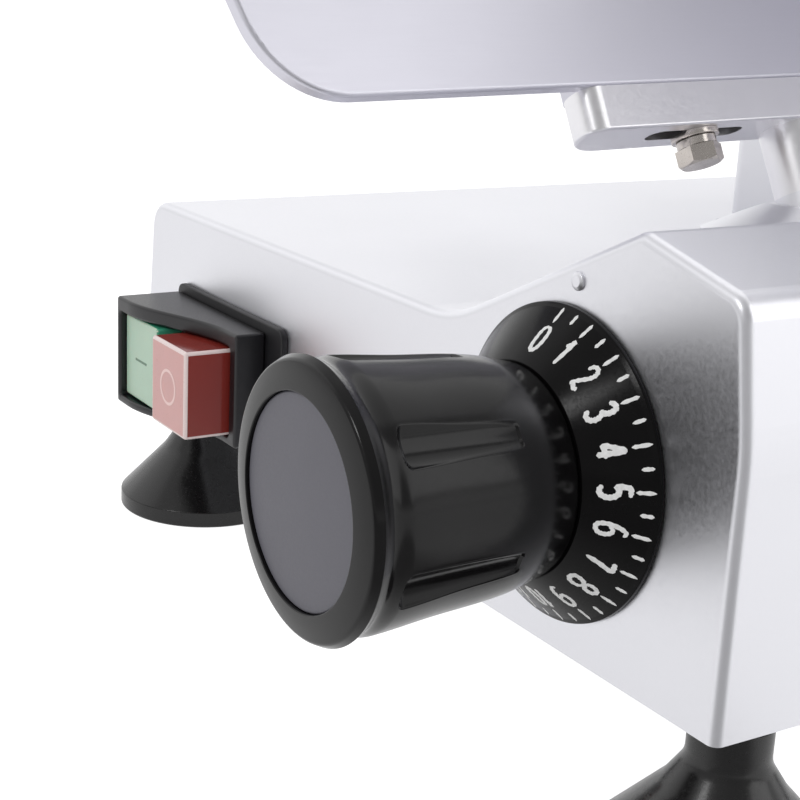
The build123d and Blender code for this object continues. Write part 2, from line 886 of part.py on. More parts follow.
cap_pocket_radius = knob_cap_radius + running
cap_floor_depth = knob_front_depth - knob_cap_depth
with BuildPart() as thickness_knob:
    with BuildSketch(dial_section):
        with BuildLine():
            rear = (knob_rear_radius, knob_rear_depth)
            rim = (knob_rim_radius, knob_rim_depth)
            lip = (knob_rim_radius - knob_edge_round, knob_rim_depth + 2 * knob_edge_round)
            Spline(
                rear,
                (knob_throat_radius, knob_throat_depth),
                (knob_waist_radius, knob_waist_depth),
                (knob_shoulder_radius, knob_shoulder_depth),
                (knob_groove_radius, knob_groove_depth),
                rim,
            )
            RadiusArc(rim, lip, -knob_edge_round * edge_arc_share)
            Polyline(
                lip,
                (cap_pocket_radius, knob_front_depth),
                (cap_pocket_radius, cap_floor_depth),
                (0, cap_floor_depth),
                (0, knob_bore_depth),
                (spindle_radius + slip, knob_bore_depth),
                (spindle_radius + slip, knob_rear_depth),
                rear,
            )
        make_face()
    revolve(axis=dial_axis)
    # Finger recesses, deep beside the rim and fading towards the dial
    front_centre = knob_waist_radius + grip_front_radius - grip_bite
    rear_centre = knob_throat_radius + grip_rear_radius - grip_rear_bite
    for number in range(grip_count):
        turn = math.radians(360 * (number + grip_turn_share) / grip_count)
        out = Vector(math.cos(turn), 0, math.sin(turn))
        beside = Vector(-math.sin(turn), 0, math.cos(turn))
        rear_point = Vector(dial_x, front_y - grip_front_depth + grip_length, dial_z) + rear_centre * out
        front_point = Vector(dial_x, front_y - grip_front_depth, dial_z) + front_centre * out
        slope = (front_point - rear_point).normalized()
        slope_length = (front_point - rear_point).length
        with BuildSketch(Plane(origin=rear_point, x_dir=beside, z_dir=beside.cross(slope))):
            with BuildLine():
                corner = (grip_front_radius - grip_corner_radius, slope_length)
                wall_top = (grip_front_radius - grip_corner_radius, slope_length + grip_corner_radius)
                Polyline(
                    wall_top,
                    (0, slope_length + grip_corner_radius),
                    (0, 0),
                    (grip_rear_radius, 0),
                    (grip_front_radius, slope_length),
                )
                CenterArc(corner, grip_corner_radius, 0, 90)
            make_face()
        revolve(axis=Axis(rear_point, slope), mode=Mode.SUBTRACT)
pieces["thickness_knob"] = thickness_knob

with BuildPart() as knob_cap:
    cap_top = cap_floor_depth + knob_cap_thickness
    cap_outline = [
        (0, cap_floor_depth),
        (knob_cap_radius, cap_floor_depth),
        (knob_cap_radius, cap_top - knob_cap_inset),
        (knob_cap_radius - knob_cap_inset, cap_top),
        (0, cap_top),
    ]
    turned(dial_section, dial_axis, cap_outline)
pieces["knob_cap"] = knob_cap

with BuildPart() as knob_spindle:
    spindle_plane = Plane(origin=(dial_x, scroll_back_y, dial_z), z_dir=(0, -1, 0))
    rod_along(spindle_plane, spindle_radius, scroll_back_y - front_y + knob_bore_depth)
pieces["knob_spindle"] = knob_spindle

with BuildPart() as spindle_bush:
    bush_outline = [
        (spindle_radius + running, 0),
        (bush_radius, 0),
        (bush_radius, -base_wall),
        (bush_flange_radius, -base_wall),
        (bush_flange_radius, -base_wall - bush_flange_thickness),
        (spindle_radius + running, -base_wall - bush_flange_thickness),
    ]
    turned(dial_section, dial_axis, bush_outline)
pieces["spindle_bush"] = spindle_bush

# Scroll plate: its spiral groove draws the follower sideways as the knob turns
groove_face = Plane(origin=(dial_x, scroll_back_y, dial_z), x_dir=(-1, 0, 0), z_dir=(0, 1, 0))


def spiral(side):
    """Points along one wall of the groove, from its inner to its outer end."""
    points = []
    pitch = math.degrees(plate_travel / dial_turn)
    groove_sweep_deg = groove_lead_deg + dial_turn + groove_tail_deg
    for step in range(groove_steps + 1):
        angle = math.radians(groove_sweep_deg * step / groove_steps - groove_lead_deg)
        radius = groove_start_radius + pitch * angle
        out = Vector(math.cos(angle), math.sin(angle))
        along = Vector(-math.sin(angle), math.cos(angle))
        normal = (radius * out - pitch * along).normalized()
        points.append(radius * out + side * groove_width / 2 * normal)
    return points


with BuildPart() as scroll_plate:
    rod_along(groove_face, scroll_radius, -scroll_thickness)
    rod_along(groove_face.offset(over), spindle_radius + slip, -2 * over, mode=Mode.SUBTRACT)
    with BuildSketch(groove_face):
        with BuildLine():
            inner_wall = spiral(-1)
            outer_wall = spiral(1)
            Spline(*inner_wall)
            Spline(*outer_wall)
            Line(inner_wall[0], outer_wall[0])
            Line(inner_wall[-1], outer_wall[-1])
        make_face()
    extrude(amount=-groove_depth, mode=Mode.SUBTRACT)
pieces["scroll_plate"] = scroll_plate

# Gauge slide: block on its bar, boss through the deck, hump over the slot, link to the follower
slider_left_x = slider_x - slider_half_length
slider_right_x = slider_x + slider_half_length
seat_plane = Plane(origin=seat_point, x_dir=gauge_along, z_dir=gauge_up)
tab_back_y = scroll_back_y + groove_width / 2
with BuildPart() as gauge_slider:
    box_between(
        (slider_left_x, slider_front_y, slider_low_z),
        (slider_right_x, slider_back_y, slider_top_z),
    )
    boss_plane = Plane.XY.offset(slider_top_z - base_wall).move(Location((slider_x, boss_y, 0)))
    rod_along(boss_plane, slider_boss_radius, deck_z - slider_top_z + 2 * base_wall)
    hump_foot = (slider_x, boss_y, deck_z + hump_clearance)
    hump_section = Plane(origin=hump_foot, x_dir=(1, 0, 0), z_dir=(0, -1, 0))
    hump_outline = [
        (0, 0),
        (hump_radius, 0),
        (hump_radius, hump_rim_height),
        (hump_top_radius, hump_top_height),
        (0, hump_top_height),
    ]
    turned(hump_section, Axis((slider_x, boss_y, 0), (0, 0, 1)), hump_outline)
    rod_along(seat_plane, slider_boss_radius - slider_slot_play, -seat_stub_length)
    with BuildSketch(seat_plane):
        Rectangle(2 * over, 2 * over)
    extrude(amount=over, mode=Mode.SUBTRACT)
    # Drag link
    link_left_x = follower_x - drag_link_width / 2
    link_right_x = follower_x + drag_link_width / 2
    link_back_y = slider_front_y + drag_link_width
    link_top_z = slider_low_z + drag_link_height
    link_start_x = slider_right_x - base_wall
    box_between((link_start_x, slider_front_y, slider_low_z), (link_right_x, link_back_y, link_top_z))
    box_between((link_left_x, tab_back_y, slider_low_z), (link_right_x, link_back_y, link_top_z))
    box_between(
        (link_left_x, tab_back_y, slider_low_z),
        (link_right_x, tab_back_y + drag_tab_thickness, dial_z + drag_tab_top),
    )
    # Bores of the guide bar, the arm bolt and the follower
    bar_plane = Plane(origin=(slider_left_x - over, gauge_bar_y, gauge_bar_z), z_dir=(1, 0, 0))
    rod_along(bar_plane, gauge_bar_radius + slip, 2 * over + 2 * slider_half_length, mode=Mode.SUBTRACT)
    bolt_plane = Plane(origin=(slider_x, boss_y, slider_low_z), z_dir=(0, 0, 1))
    rod_along(bolt_plane, arm_bolt_radius + slip, crest_z, mode=Mode.SUBTRACT)
    rod_along(bolt_plane, arm_bolt_head_radius + gap, arm_bolt_head_height + gap, mode=Mode.SUBTRACT)
    pin_bore = Plane(origin=(follower_x, tab_back_y, dial_z), z_dir=(0, 1, 0))
    rod_along(pin_bore, follower_radius + slip, drag_tab_thickness, mode=Mode.SUBTRACT)
pieces["gauge_slider"] = gauge_slider

with BuildPart() as follower_pin:
    pin_tip_y = scroll_back_y - groove_depth + follower_tip_gap
    rod_along(
        Plane(origin=(follower_x, pin_tip_y, dial_z), z_dir=(0, 1, 0)),
        follower_radius,
        tab_back_y - pin_tip_y + follower_grip,
    )
pieces["follower_pin"] = follower_pin

with BuildPart() as gauge_guide_bar:
    rod_along(
        Plane(origin=(gauge_bar_left_x, gauge_bar_y, gauge_bar_z), z_dir=(1, 0, 0)),
        gauge_bar_radius,
        gauge_bar_right_x - gauge_bar_left_x,
    )
pieces["gauge_guide_bar"] = gauge_guide_bar

with BuildPart() as guide_bar_brackets:
    for bracket_x in (gauge_bar_left_x, gauge_bar_right_x - gauge_bracket_width):
        box_between(
            (bracket_x, gauge_bar_y - gauge_bracket_half_y, gauge_bracket_low_z - slip),
            (bracket_x + gauge_bracket_width, gauge_bar_y + gauge_bracket_half_y, gauge_bracket_top_z),
        )
    for bracket_y in (carriage_bar_front_y, inner_back_y - carriage_bracket_length):
        bracket_back_y = bracket_y + carriage_bracket_length
        box_between(
            (carriage_bar_x - carriage_bracket_half_x, bracket_y, carriage_bracket_low_z),
            (carriage_bar_x + carriage_bracket_half_x, bracket_back_y, carriage_bracket_top_z),
        )
    bar_plane = Plane(origin=(gauge_bar_left_x - over, gauge_bar_y, gauge_bar_z), z_dir=(1, 0, 0))
    gauge_bar_length = gauge_bar_right_x - gauge_bar_left_x
    rod_along(bar_plane, gauge_bar_radius + slip, gauge_bar_length + 2 * over, mode=Mode.SUBTRACT)
    rail_start = (carriage_bar_x, carriage_bar_front_y - over, carriage_bar_z)
    rail_plane = Plane(origin=rail_start, z_dir=(0, 1, 0))
    rail_length = inner_back_y - carriage_bar_front_y
    rod_along(rail_plane, carriage_bar_radius + slip, rail_length + 2 * over, mode=Mode.SUBTRACT)
pieces["guide_bar_brackets"] = guide_bar_brackets

# Arm that carries the gauge plate
bar_section = Plane(
    origin=gauge.from_local_coords((0, -bar_height, -bar_half)), x_dir=gauge_along, z_dir=gauge_up
)
slot_side = gauge_bolt_depth - bar_half
with BuildPart() as gauge_arm:
    with BuildSketch(bar_section) as bar_shape:
        with Locations(((bar_start_y + bar_end_y) / 2, 0)):
            Rectangle(bar_end_y - bar_start_y, bar_width)
        near_corners = bar_shape.vertices().group_by(Axis.X)[0].sort_by(Axis.Y)
        fillet(near_corners[0], radius=bar_front_radius)
        back_corner = bar_shape.vertices().group_by(Axis.Y)[-1].sort_by(Axis.X)[0]
        fillet(back_corner, radius=bar_back_radius)
    extrude(amount=bar_height)
    fillet(gauge_arm.faces().sort_by(Axis(gauge.origin, gauge_up))[0].edges(), radius=bar_edge_radius)
    with BuildSketch(bar_section):
        with Locations((post_y, 0)):
            Circle(post_radius)
    extrude(amount=-post_length)
    with BuildSketch(bar_section):
        with Locations((gauge_bolt_y, slot_side)):
            SlotOverall(bar_slot_length, bar_slot_width)
    extrude(amount=bar_height, mode=Mode.SUBTRACT)
    bolt_plane = Plane(origin=(slider_x, boss_y, deck_z), z_dir=(0, 0, 1))
    bolt_reach = seat_point.Z - deck_z + arm_bolt_grip
    rod_along(bolt_plane, arm_bolt_radius + slip, bolt_reach + gap, mode=Mode.SUBTRACT)
pieces["gauge_arm"] = gauge_arm

with BuildPart() as gauge_arm_bolt:
    head_bottom = Plane(origin=(slider_x, boss_y, slider_low_z), z_dir=(0, 0, 1))
    with BuildSketch(head_bottom):
        RegularPolygon(arm_bolt_head_radius, 6)
    extrude(amount=arm_bolt_head_height)
    rod_along(head_bottom, arm_bolt_radius, seat_point.Z - slider_low_z + arm_bolt_grip)
pieces["gauge_arm_bolt"] = gauge_arm_bolt

# Gauge plate with its rib and the bolt that holds it
arc_centre = gauge.to_local_coords(head.origin)
arc_radius = blade_radius + plate_blade_gap
plate_end_y = blade_reach_y - plate_end_reach
arc_low_u = arc_centre.Y - math.sqrt(arc_radius**2 - (arc_centre.X - plate_end_y) ** 2)
arc_top_y = arc_centre.X - math.sqrt(arc_radius**2 - (plate_height - arc_centre.Y) ** 2)
arc_middle = (arc_centre.X - arc_radius, arc_centre.Y)
with BuildPart() as gauge_plate:
    with BuildSketch(gauge):
        with BuildLine():
            FilletPolyline(
                (arc_top_y, plate_height),
                (plate_near_y, plate_height),
                (plate_near_y, plate_knee_height),
                (plate_heel_y, 0),
                (plate_end_y, 0),
                radius=[plate_shoulder_radius, plate_shoulder_radius / 2, plate_heel_radius],
            )
            Line((plate_end_y, 0), (plate_end_y, arc_low_u))
            ThreePointArc((plate_end_y, arc_low_u), arc_middle, (arc_top_y, plate_height))
        make_face()
    extrude(amount=-plate_thickness)
    face_edges = gauge_plate.faces().sort_by(Axis(gauge.origin, outward))[-1].edges()
    free_edges = [
        edge
        for edge in face_edges
        if edge.geom_type != GeomType.CIRCLE or edge.radius < blade_radius
    ]
    fillet(free_edges, radius=plate_edge_radius)
    with BuildSketch(gauge.offset(-plate_thickness)):
        with Locations(((rib_start_y + rib_end_y) / 2, rib_height / 2)):
            Rectangle(rib_end_y - rib_start_y, rib_height)
    extrude(amount=-rib_depth)
    bolt_foot = gauge.from_local_coords((gauge_bolt_y, 0, -gauge_bolt_depth))
    bolt_bore = Plane(origin=bolt_foot, x_dir=gauge_along, z_dir=gauge_up)
    rod_along(bolt_bore, gauge_bolt_radius + slip, gauge_bolt_grip + gap, mode=Mode.SUBTRACT)
pieces["gauge_plate"] = gauge_plate

washer_stack = bar_height + flat_washer_thickness + spring_washer_thickness
with BuildPart() as gauge_plate_bolt:
    head_plane = bolt_bore.offset(-washer_stack)
    with BuildSketch(head_plane):
        RegularPolygon(gauge_bolt_flats / 2, 6, major_radius=False)
    extrude(amount=-gauge_bolt_head)
    chamfer(
        gauge_plate_bolt.faces().sort_by(Axis(gauge.origin, gauge_up))[0].edges(),
        length=gauge_bolt_head / 8,
    )
    rod_along(head_plane, gauge_bolt_radius, washer_stack + gauge_bolt_grip)
pieces["gauge_plate_bolt"] = gauge_plate_bolt

with BuildPart() as gauge_plate_washers:
    for base_depth, radius, thickness in (
        (bar_height, flat_washer_radius, flat_washer_thickness),
        (bar_height + flat_washer_thickness, spring_washer_radius, spring_washer_thickness - gap / 3),
    ):
        with BuildSketch(bolt_bore.offset(-base_depth - gap / 6)):
            Circle(radius)
            Circle(gauge_bolt_radius + slip, mode=Mode.SUBTRACT)
        extrude(amount=-thickness + gap / 3)
pieces["gauge_plate_washers"] = gauge_plate_washers

# Blade: hollow ground in front, bevelled behind, dished towards the hub
blade_outline = [
    (blade_radius, 0),
    (blade_radius - blade_bevel_width, -blade_bevel_depth),
    (blade_dish_radius + blade_sheet, -blade_face_depth - blade_sheet),
    (blade_step_radius, -blade_step_depth - blade_sheet),
    (hub_flange_radius + hub_nose_radius, -blade_hub_face - blade_sheet),
    (hub_nose_radius + slip, -blade_hub_face - blade_sheet),
    (hub_nose_radius + slip, -blade_hub_face),
    (hub_flange_radius + hub_nose_radius, -blade_hub_face),
    (blade_step_radius, -blade_step_depth),
    (blade_dish_radius, -blade_face_depth),
    (blade_radius - 2 * blade_bevel_width, -blade_face_depth),
]
hub_front = blade_hub_face + blade_sheet
hub_flange_back = hub_front + hub_flange_thickness
with BuildPart() as blade:
    turned(head_section, head_axis, blade_outline)
    with BuildSketch(head.offset(-blade_hub_face)):
        with PolarLocations(blade_screw_circle_radius, blade_screw_count):
            Circle(blade_screw_radius + slip)
    extrude(amount=-blade_sheet, mode=Mode.SUBTRACT)
pieces["blade"] = blade

with BuildPart() as blade_hub:
    hub_outline = [
        (hub_bore_radius, -blade_hub_face),
        (hub_nose_radius, -blade_hub_face),
        (hub_nose_radius, -hub_front),
        (hub_flange_radius, -hub_front),
        (hub_flange_radius, -hub_flange_back),
        (hub_shaft_radius, -hub_flange_back),
        (hub_shaft_radius, -hub_shaft_end),
        (hub_bore_radius, -hub_shaft_end),
    ]
    turned(head_section, head_axis, hub_outline)
    with BuildSketch(head.offset(-hub_front)):
        with PolarLocations(blade_screw_circle_radius, blade_screw_count):
            Circle(blade_screw_radius + slip)
    extrude(amount=-hub_flange_thickness, mode=Mode.SUBTRACT)
pieces["blade_hub"] = blade_hub

with BuildPart() as blade_screws:
    with BuildSketch(head.offset(-blade_hub_face)):
        with PolarLocations(blade_screw_circle_radius, blade_screw_count):
            Circle(blade_screw_head_radius)
    extrude(amount=blade_screw_head_height)
    with BuildSketch(head.offset(-blade_hub_face)):
        with PolarLocations(blade_screw_circle_radius, blade_screw_count):
            Circle(blade_screw_radius)
    extrude(amount=-blade_screw_length)
pieces["blade_screws"] = blade_screws

# Pulleys and belt
pulleys = [
    ("blade_pulley", 0, 0, blade_pulley_radius, hub_shaft_radius),
    ("motor_pulley", motor_side_reach, motor_drop_height, motor_pulley_radius, motor_shaft_radius),
]
for label, offset_v, offset_u, radius, bore in pulleys:
    with BuildPart() as pulley:
        centre = head.from_local_coords((offset_v, offset_u, 0))
        pulley_section = Plane(origin=centre, x_dir=(0, 1, 0), z_dir=-upward)
        pulley_outline = [
            (bore + slip, -pulley_front),
            (radius + pulley_flange, -pulley_front),
            (radius + pulley_flange, -pulley_front - pulley_groove),
            (radius, -pulley_front - pulley_groove),
            (radius, -pulley_back),
            (bore + slip, -pulley_back),
        ]
        turned(pulley_section, Axis(centre, outward), pulley_outline)
    pieces[label] = pulley

belt_front = pulley_front + pulley_groove + gap
motor_place = (motor_side_reach, motor_drop_height)
with BuildPart() as drive_belt:
    with BuildSketch(head.offset(-belt_front)):
        for clearance, mode in ((gap + belt_thickness, Mode.ADD), (gap, Mode.SUBTRACT)):
            with BuildSketch(mode=mode):
                with BuildLine():
                    CenterArc((0, 0), blade_pulley_radius + clearance, 0, 360)
                    CenterArc(motor_place, motor_pulley_radius + clearance, 0, 360)
                make_hull()
    extrude(amount=belt_front - pulley_back)
pieces["drive_belt"] = drive_belt

with BuildPart() as blade_bearings:
    for front in (bearing_front, bearing_rear_back - bearing_width):
        back = front + bearing_width
        ring_outline = [
            (hub_shaft_radius + running, -front),
            (bearing_radius, -front),
            (bearing_radius, -back),
            (hub_shaft_radius + running, -back),
        ]
        turned(head_section, head_axis, ring_outline)
pieces["blade_bearings"] = blade_bearings

# Motor: can with its rotor inside
motor_centre = head.from_local_coords((motor_side_reach, motor_drop_height, 0))
motor_section = Plane(origin=motor_centre, x_dir=(0, 1, 0), z_dir=-upward)
motor_axis = Axis(motor_centre, outward)
can_inner_front = dish_plate_back + motor_wall
can_inner_back = motor_back - motor_wall
with BuildPart() as motor_body:
    can_outline = [
        (motor_shaft_radius + running, -dish_plate_back),
        (motor_radius, -dish_plate_back),
        (motor_radius, -motor_back),
        (motor_shaft_radius + running, -motor_back),
        (motor_shaft_radius + running, -can_inner_back),
        (rotor_radius + rotor_play, -can_inner_back),
        (rotor_radius + rotor_play, -can_inner_front),
        (motor_shaft_radius + running, -can_inner_front),
    ]
    turned(motor_section, motor_axis, can_outline)
pieces["motor_body"] = motor_body

with BuildPart() as motor_rotor:
    rotor_outline = [
        (0, -pulley_front),
        (motor_shaft_radius, -pulley_front),
        (motor_shaft_radius, -can_inner_front - rotor_play),
        (rotor_radius, -can_inner_front - rotor_play),
        (rotor_radius, -can_inner_back + rotor_play),
        (motor_shaft_radius, -can_inner_back + rotor_play),
        (motor_shaft_radius, -motor_back),
        (0, -motor_back),
    ]
    turned(motor_section, motor_axis, rotor_outline)
pieces["motor_rotor"] = motor_rotor

# Motor cover over the motor and the bearing boss
cover_front = dish_plate_back + gap
ear_plane = head.offset(-cover_front)


def cover_outline(grow):
    """Outline of the motor cover: a hull of two circles."""
    with BuildLine() as circles:
        CenterArc((0, 0), cover_small_radius + grow, 0, 360)
        CenterArc((motor_side_reach, motor_drop_height), cover_large_radius + grow, 0, 360)
    make_hull(circles.edges())


def ear_outline(grow):
    """Outline of the screw ears of the motor cover, each running in towards its own circle."""
    for ear, (root, root_radius) in zip(cover_ears, cover_circles):
        with Locations(ear):
            Circle(cover_ear_radius + grow)
        with BuildLine() as spoke:
            Line(ear, root)
        trace(spoke.edges(), line_width=2 * cover_ear_radius + 2 * grow)


with BuildPart() as motor_cover:
    with BuildSketch(ear_plane):
        cover_outline(0)
    extrude(amount=cover_front - cover_back)
    fillet(motor_cover.faces().sort_by(Axis(head.origin, outward))[0].edges(), radius=cover_edge_radius)
    with BuildSketch(ear_plane):
        ear_outline(0)
    extrude(amount=-cover_ear_thickness)
    with BuildSketch(ear_plane):
        cover_outline(-cover_wall)
    extrude(amount=cover_front - cover_back + cover_wall, mode=Mode.SUBTRACT)
    with BuildSketch(ear_plane):
        with Locations(*cover_ears):
            Circle(small_screw_radius + slip)
    extrude(amount=-cover_ear_thickness, mode=Mode.SUBTRACT)
    rod_along(head, tie_rod_radius + gap, -cover_back, mode=Mode.SUBTRACT)
    with BuildSketch(head.offset(-cover_back)):
        with Locations((motor_side_reach, motor_drop_height)):
            with GridLocations(0, vent_pitch, 1, vent_count):
                SlotOverall(vent_length, vent_width)
    extrude(amount=cover_wall + gap, mode=Mode.SUBTRACT)
pieces["motor_cover"] = motor_cover

# Head casting: dish behind the blade, bearing boss and pedestal
with BuildPart() as pedestal_hollow:
    with BuildSketch(across(pedestal_front_y + pedestal_foot_length)):
        with BuildLine():
            Polyline(
                (pedestal_left_x + pedestal_wall, deck_z - gap),
                (pedestal_right_x - pedestal_wall, deck_z - gap),
                (pedestal_right_x - pedestal_wall, pedestal_hollow_z),
                (pedestal_left_x + pedestal_wall, pedestal_hollow_z),
                close=True,
            )
        make_face()
    extrude(amount=-pedestal_length + 2 * pedestal_foot_length)

with BuildPart() as head_casting:
    box_between(
        (pedestal_left_x, pedestal_front_y, deck_z),
        (pedestal_right_x, pedestal_back_y, pedestal_top_z),
    )
    fillet(head_casting.edges().filter_by(Axis.Z), radius=pedestal_edge_radius)
    # Keep only what lies behind the rim of the dish and in front of the motor cover
    with BuildSketch(head.offset(-dish_rim_front)):
        Rectangle(10 * over, 10 * over)
    extrude(amount=10 * over, mode=Mode.SUBTRACT)
    with BuildSketch(head.offset(-dish_plate_front)):
        Circle(dish_radius - dish_wall)
    extrude(amount=2 * over, mode=Mode.SUBTRACT)
    with BuildSketch(head.offset(-dish_plate_back)):
        cover_outline(gap)
    extrude(amount=-cover_back, mode=Mode.SUBTRACT)
    with BuildSketch(head.offset(-dish_plate_back)):
        ear_outline(gap)
    extrude(amount=-cover_ear_thickness - small_head_height - 2 * gap, mode=Mode.SUBTRACT)
    add(pedestal_hollow.part, mode=Mode.SUBTRACT)
    dish_outline = [
        (0, -dish_plate_front),
        (dish_radius - dish_wall, -dish_plate_front),
        (dish_radius - dish_wall, -dish_rim_front),
        (dish_radius, -dish_rim_front),
        (dish_radius, -dish_plate_back),
        (0, -dish_plate_back),
    ]
    turned(head_section, head_axis, dish_outline)
    rod_along(head.offset(-dish_plate_front), bearing_boss_radius, dish_plate_front - bearing_boss_back)
    # Bores for the bearings, the motor shaft and the screws
    rod_along(head.offset(-bearing_front), bearing_radius + slip, -bearing_width, mode=Mode.SUBTRACT)
    rod_along(head, bearing_radius - bearing_shoulder, -bearing_boss_back, mode=Mode.SUBTRACT)
    rear_bore_length = bearing_boss_back - bearing_rear_back + bearing_width
    rod_along(head.offset(-bearing_boss_back), bearing_radius + slip, rear_bore_length, mode=Mode.SUBTRACT)
    rod_along(head, bearing_radius + slip, -bearing_front, mode=Mode.SUBTRACT)
    with BuildSketch(head):
        with Locations((motor_side_reach, motor_drop_height)):
            Circle(motor_shaft_hole_radius)
    extrude(amount=-dish_plate_back, mode=Mode.SUBTRACT)
    with BuildSketch(ear_plane):
        with Locations(*cover_ears):
            Circle(small_screw_radius + slip)
    extrude(amount=dish_plate_back - dish_plate_front + gap, mode=Mode.SUBTRACT)
    with BuildSketch(head.offset(-dish_rim_front)):
        for turn in guard_screw_degs:
            with Locations(Rotation(0, 0, turn) * Location((guard_screw_radius, 0, 0))):
                Circle(small_screw_radius + slip)
    extrude(amount=-small_screw_grip, mode=Mode.SUBTRACT)
    with BuildSketch(Plane.XY.offset(deck_z)):
        with Locations(*head_bolt_places):
            Circle(head_bolt_radius + slip)
    extrude(amount=head_bolt_grip + gap, mode=Mode.SUBTRACT)
    # Post on which the sharpener slides up
    post_foot = (guide_post_side_reach, dish_radius - dish_wall / 2, -guide_post_depth)
    post_plane = Plane(origin=head.from_local_coords(post_foot), x_dir=(0, 1, 0), z_dir=upward)
    rod_along(post_plane, guide_post_radius, guide_post_height)
pieces["head_casting"] = head_casting

with BuildPart() as head_bolts:
    bolt_head_z = deck_z - base_wall
    with BuildSketch(Plane.XY.offset(bolt_head_z)):
        with Locations(*head_bolt_places):
            RegularPolygon(head_bolt_head_radius, 6)
    extrude(amount=-head_bolt_head_height)
    with BuildSketch(Plane.XY.offset(bolt_head_z)):
        with Locations(*head_bolt_places):
            Circle(head_bolt_radius)
    extrude(amount=base_wall + head_bolt_grip)
pieces["head_bolts"] = head_bolts

# Ring guard round the far side of the blade
with BuildPart() as ring_guard:
    guard_back = dish_rim_front
    guard_outline = [
        (guard_web_radius, -guard_back + gap / 3),
        (guard_web_radius, -guard_back + guard_web_thickness),
        (guard_inner_radius, -guard_back + guard_web_thickness),
        (guard_inner_radius, -guard_front),
        (guard_radius, -guard_front),
        (guard_radius, -guard_back + gap / 3),
    ]
    guard_start = math.radians(guard_start_deg)
    guard_out = math.cos(guard_start) * Vector(0, 1, 0) + math.sin(guard_start) * upward
    guard_beside = math.cos(guard_start) * upward - math.sin(guard_start) * Vector(0, 1, 0)
    guard_section = Plane(origin=head.origin, x_dir=guard_out, z_dir=-guard_beside)
    with BuildSketch(guard_section):
        with BuildLine():
            Polyline(*guard_outline, close=True)
        make_face()
    revolve(axis=head_axis, revolution_arc=guard_end_deg - guard_start_deg)
    with BuildSketch(head):
        for turn in guard_screw_degs:
            with Locations(Rotation(0, 0, turn) * Location((guard_screw_radius, 0, 0))):
                Circle(small_screw_radius + slip)
    extrude(amount=-guard_back, mode=Mode.SUBTRACT)
pieces["ring_guard"] = ring_guard

# Blade cover with its tie rod and knob
with BuildPart() as blade_cover:
    crown_outline = [
        (0, -disc_cover_front),
        (disc_cover_radius - disc_cover_crown, -disc_cover_front),
        (disc_cover_radius, -disc_cover_front - disc_cover_crown / 2),
        (disc_cover_radius, -disc_cover_rim),
        (disc_cover_radius - base_wall, -disc_cover_rim),
        (disc_cover_radius - base_wall, -disc_cover_front - disc_cover_crown),
        (0, -disc_cover_front - disc_cover_crown),
    ]
    turned(head_section, head_axis, crown_outline)
    cover_back_plane = head.offset(-disc_cover_front - disc_cover_crown)
    boss_length = blade_hub_face - gap - disc_cover_front - disc_cover_crown
    rod_along(cover_back_plane, tie_rod_radius + cover_wall, -boss_length)
    rod_along(cover_back_plane, tie_rod_radius + slip, -boss_length, mode=Mode.SUBTRACT)
pieces["blade_cover"] = blade_cover

with BuildPart() as tie_rod:
    tie_start = disc_cover_front + disc_cover_crown
    rod_along(head.offset(-tie_start), tie_rod_radius, tie_start - cover_back - tie_rod_tail)
pieces["tie_rod"] = tie_rod

with BuildPart() as tie_rod_knob:
    knob_front = cover_back + gap
    rod_along(head.offset(-knob_front), tie_knob_radius, -tie_knob_length)
    knob_end = tie_rod_knob.faces().sort_by(Axis(head.origin, outward))[0]
    fillet(knob_end.edges(), radius=tie_knob_flute_radius)
    with BuildSketch(head.offset(-knob_front)):
        with PolarLocations(tie_knob_radius + tie_knob_flute_radius / 2, tie_knob_flutes):
            Circle(tie_knob_flute_radius)
    extrude(amount=-tie_knob_length, mode=Mode.SUBTRACT)
    rod_along(head, tie_rod_radius + slip, -cover_back - tie_rod_tail, mode=Mode.SUBTRACT)
pieces["tie_rod_knob"] = tie_rod_knob

# Slice deflector behind the cutting side
with BuildPart() as slice_deflector:
    deflector_v = -dish_radius - gap - deflector_sheet / 2
    deflector_low = head.from_local_coords((0, -deflector_half_height, 0))
    deflector_section = Plane(origin=deflector_low, x_dir=(0, 1, 0), z_dir=-upward)
    with BuildSketch(deflector_section):
        with BuildLine():
            FilletPolyline(
                (deflector_v, -deflector_front),
                (deflector_v, -deflector_bend),
                (deflector_v - deflector_flare, -deflector_back),
                radius=deflector_flare / 2,
            )
        trace(line_width=deflector_sheet)
    extrude(amount=-2 * deflector_half_height)
pieces["slice_deflector"] = slice_deflector

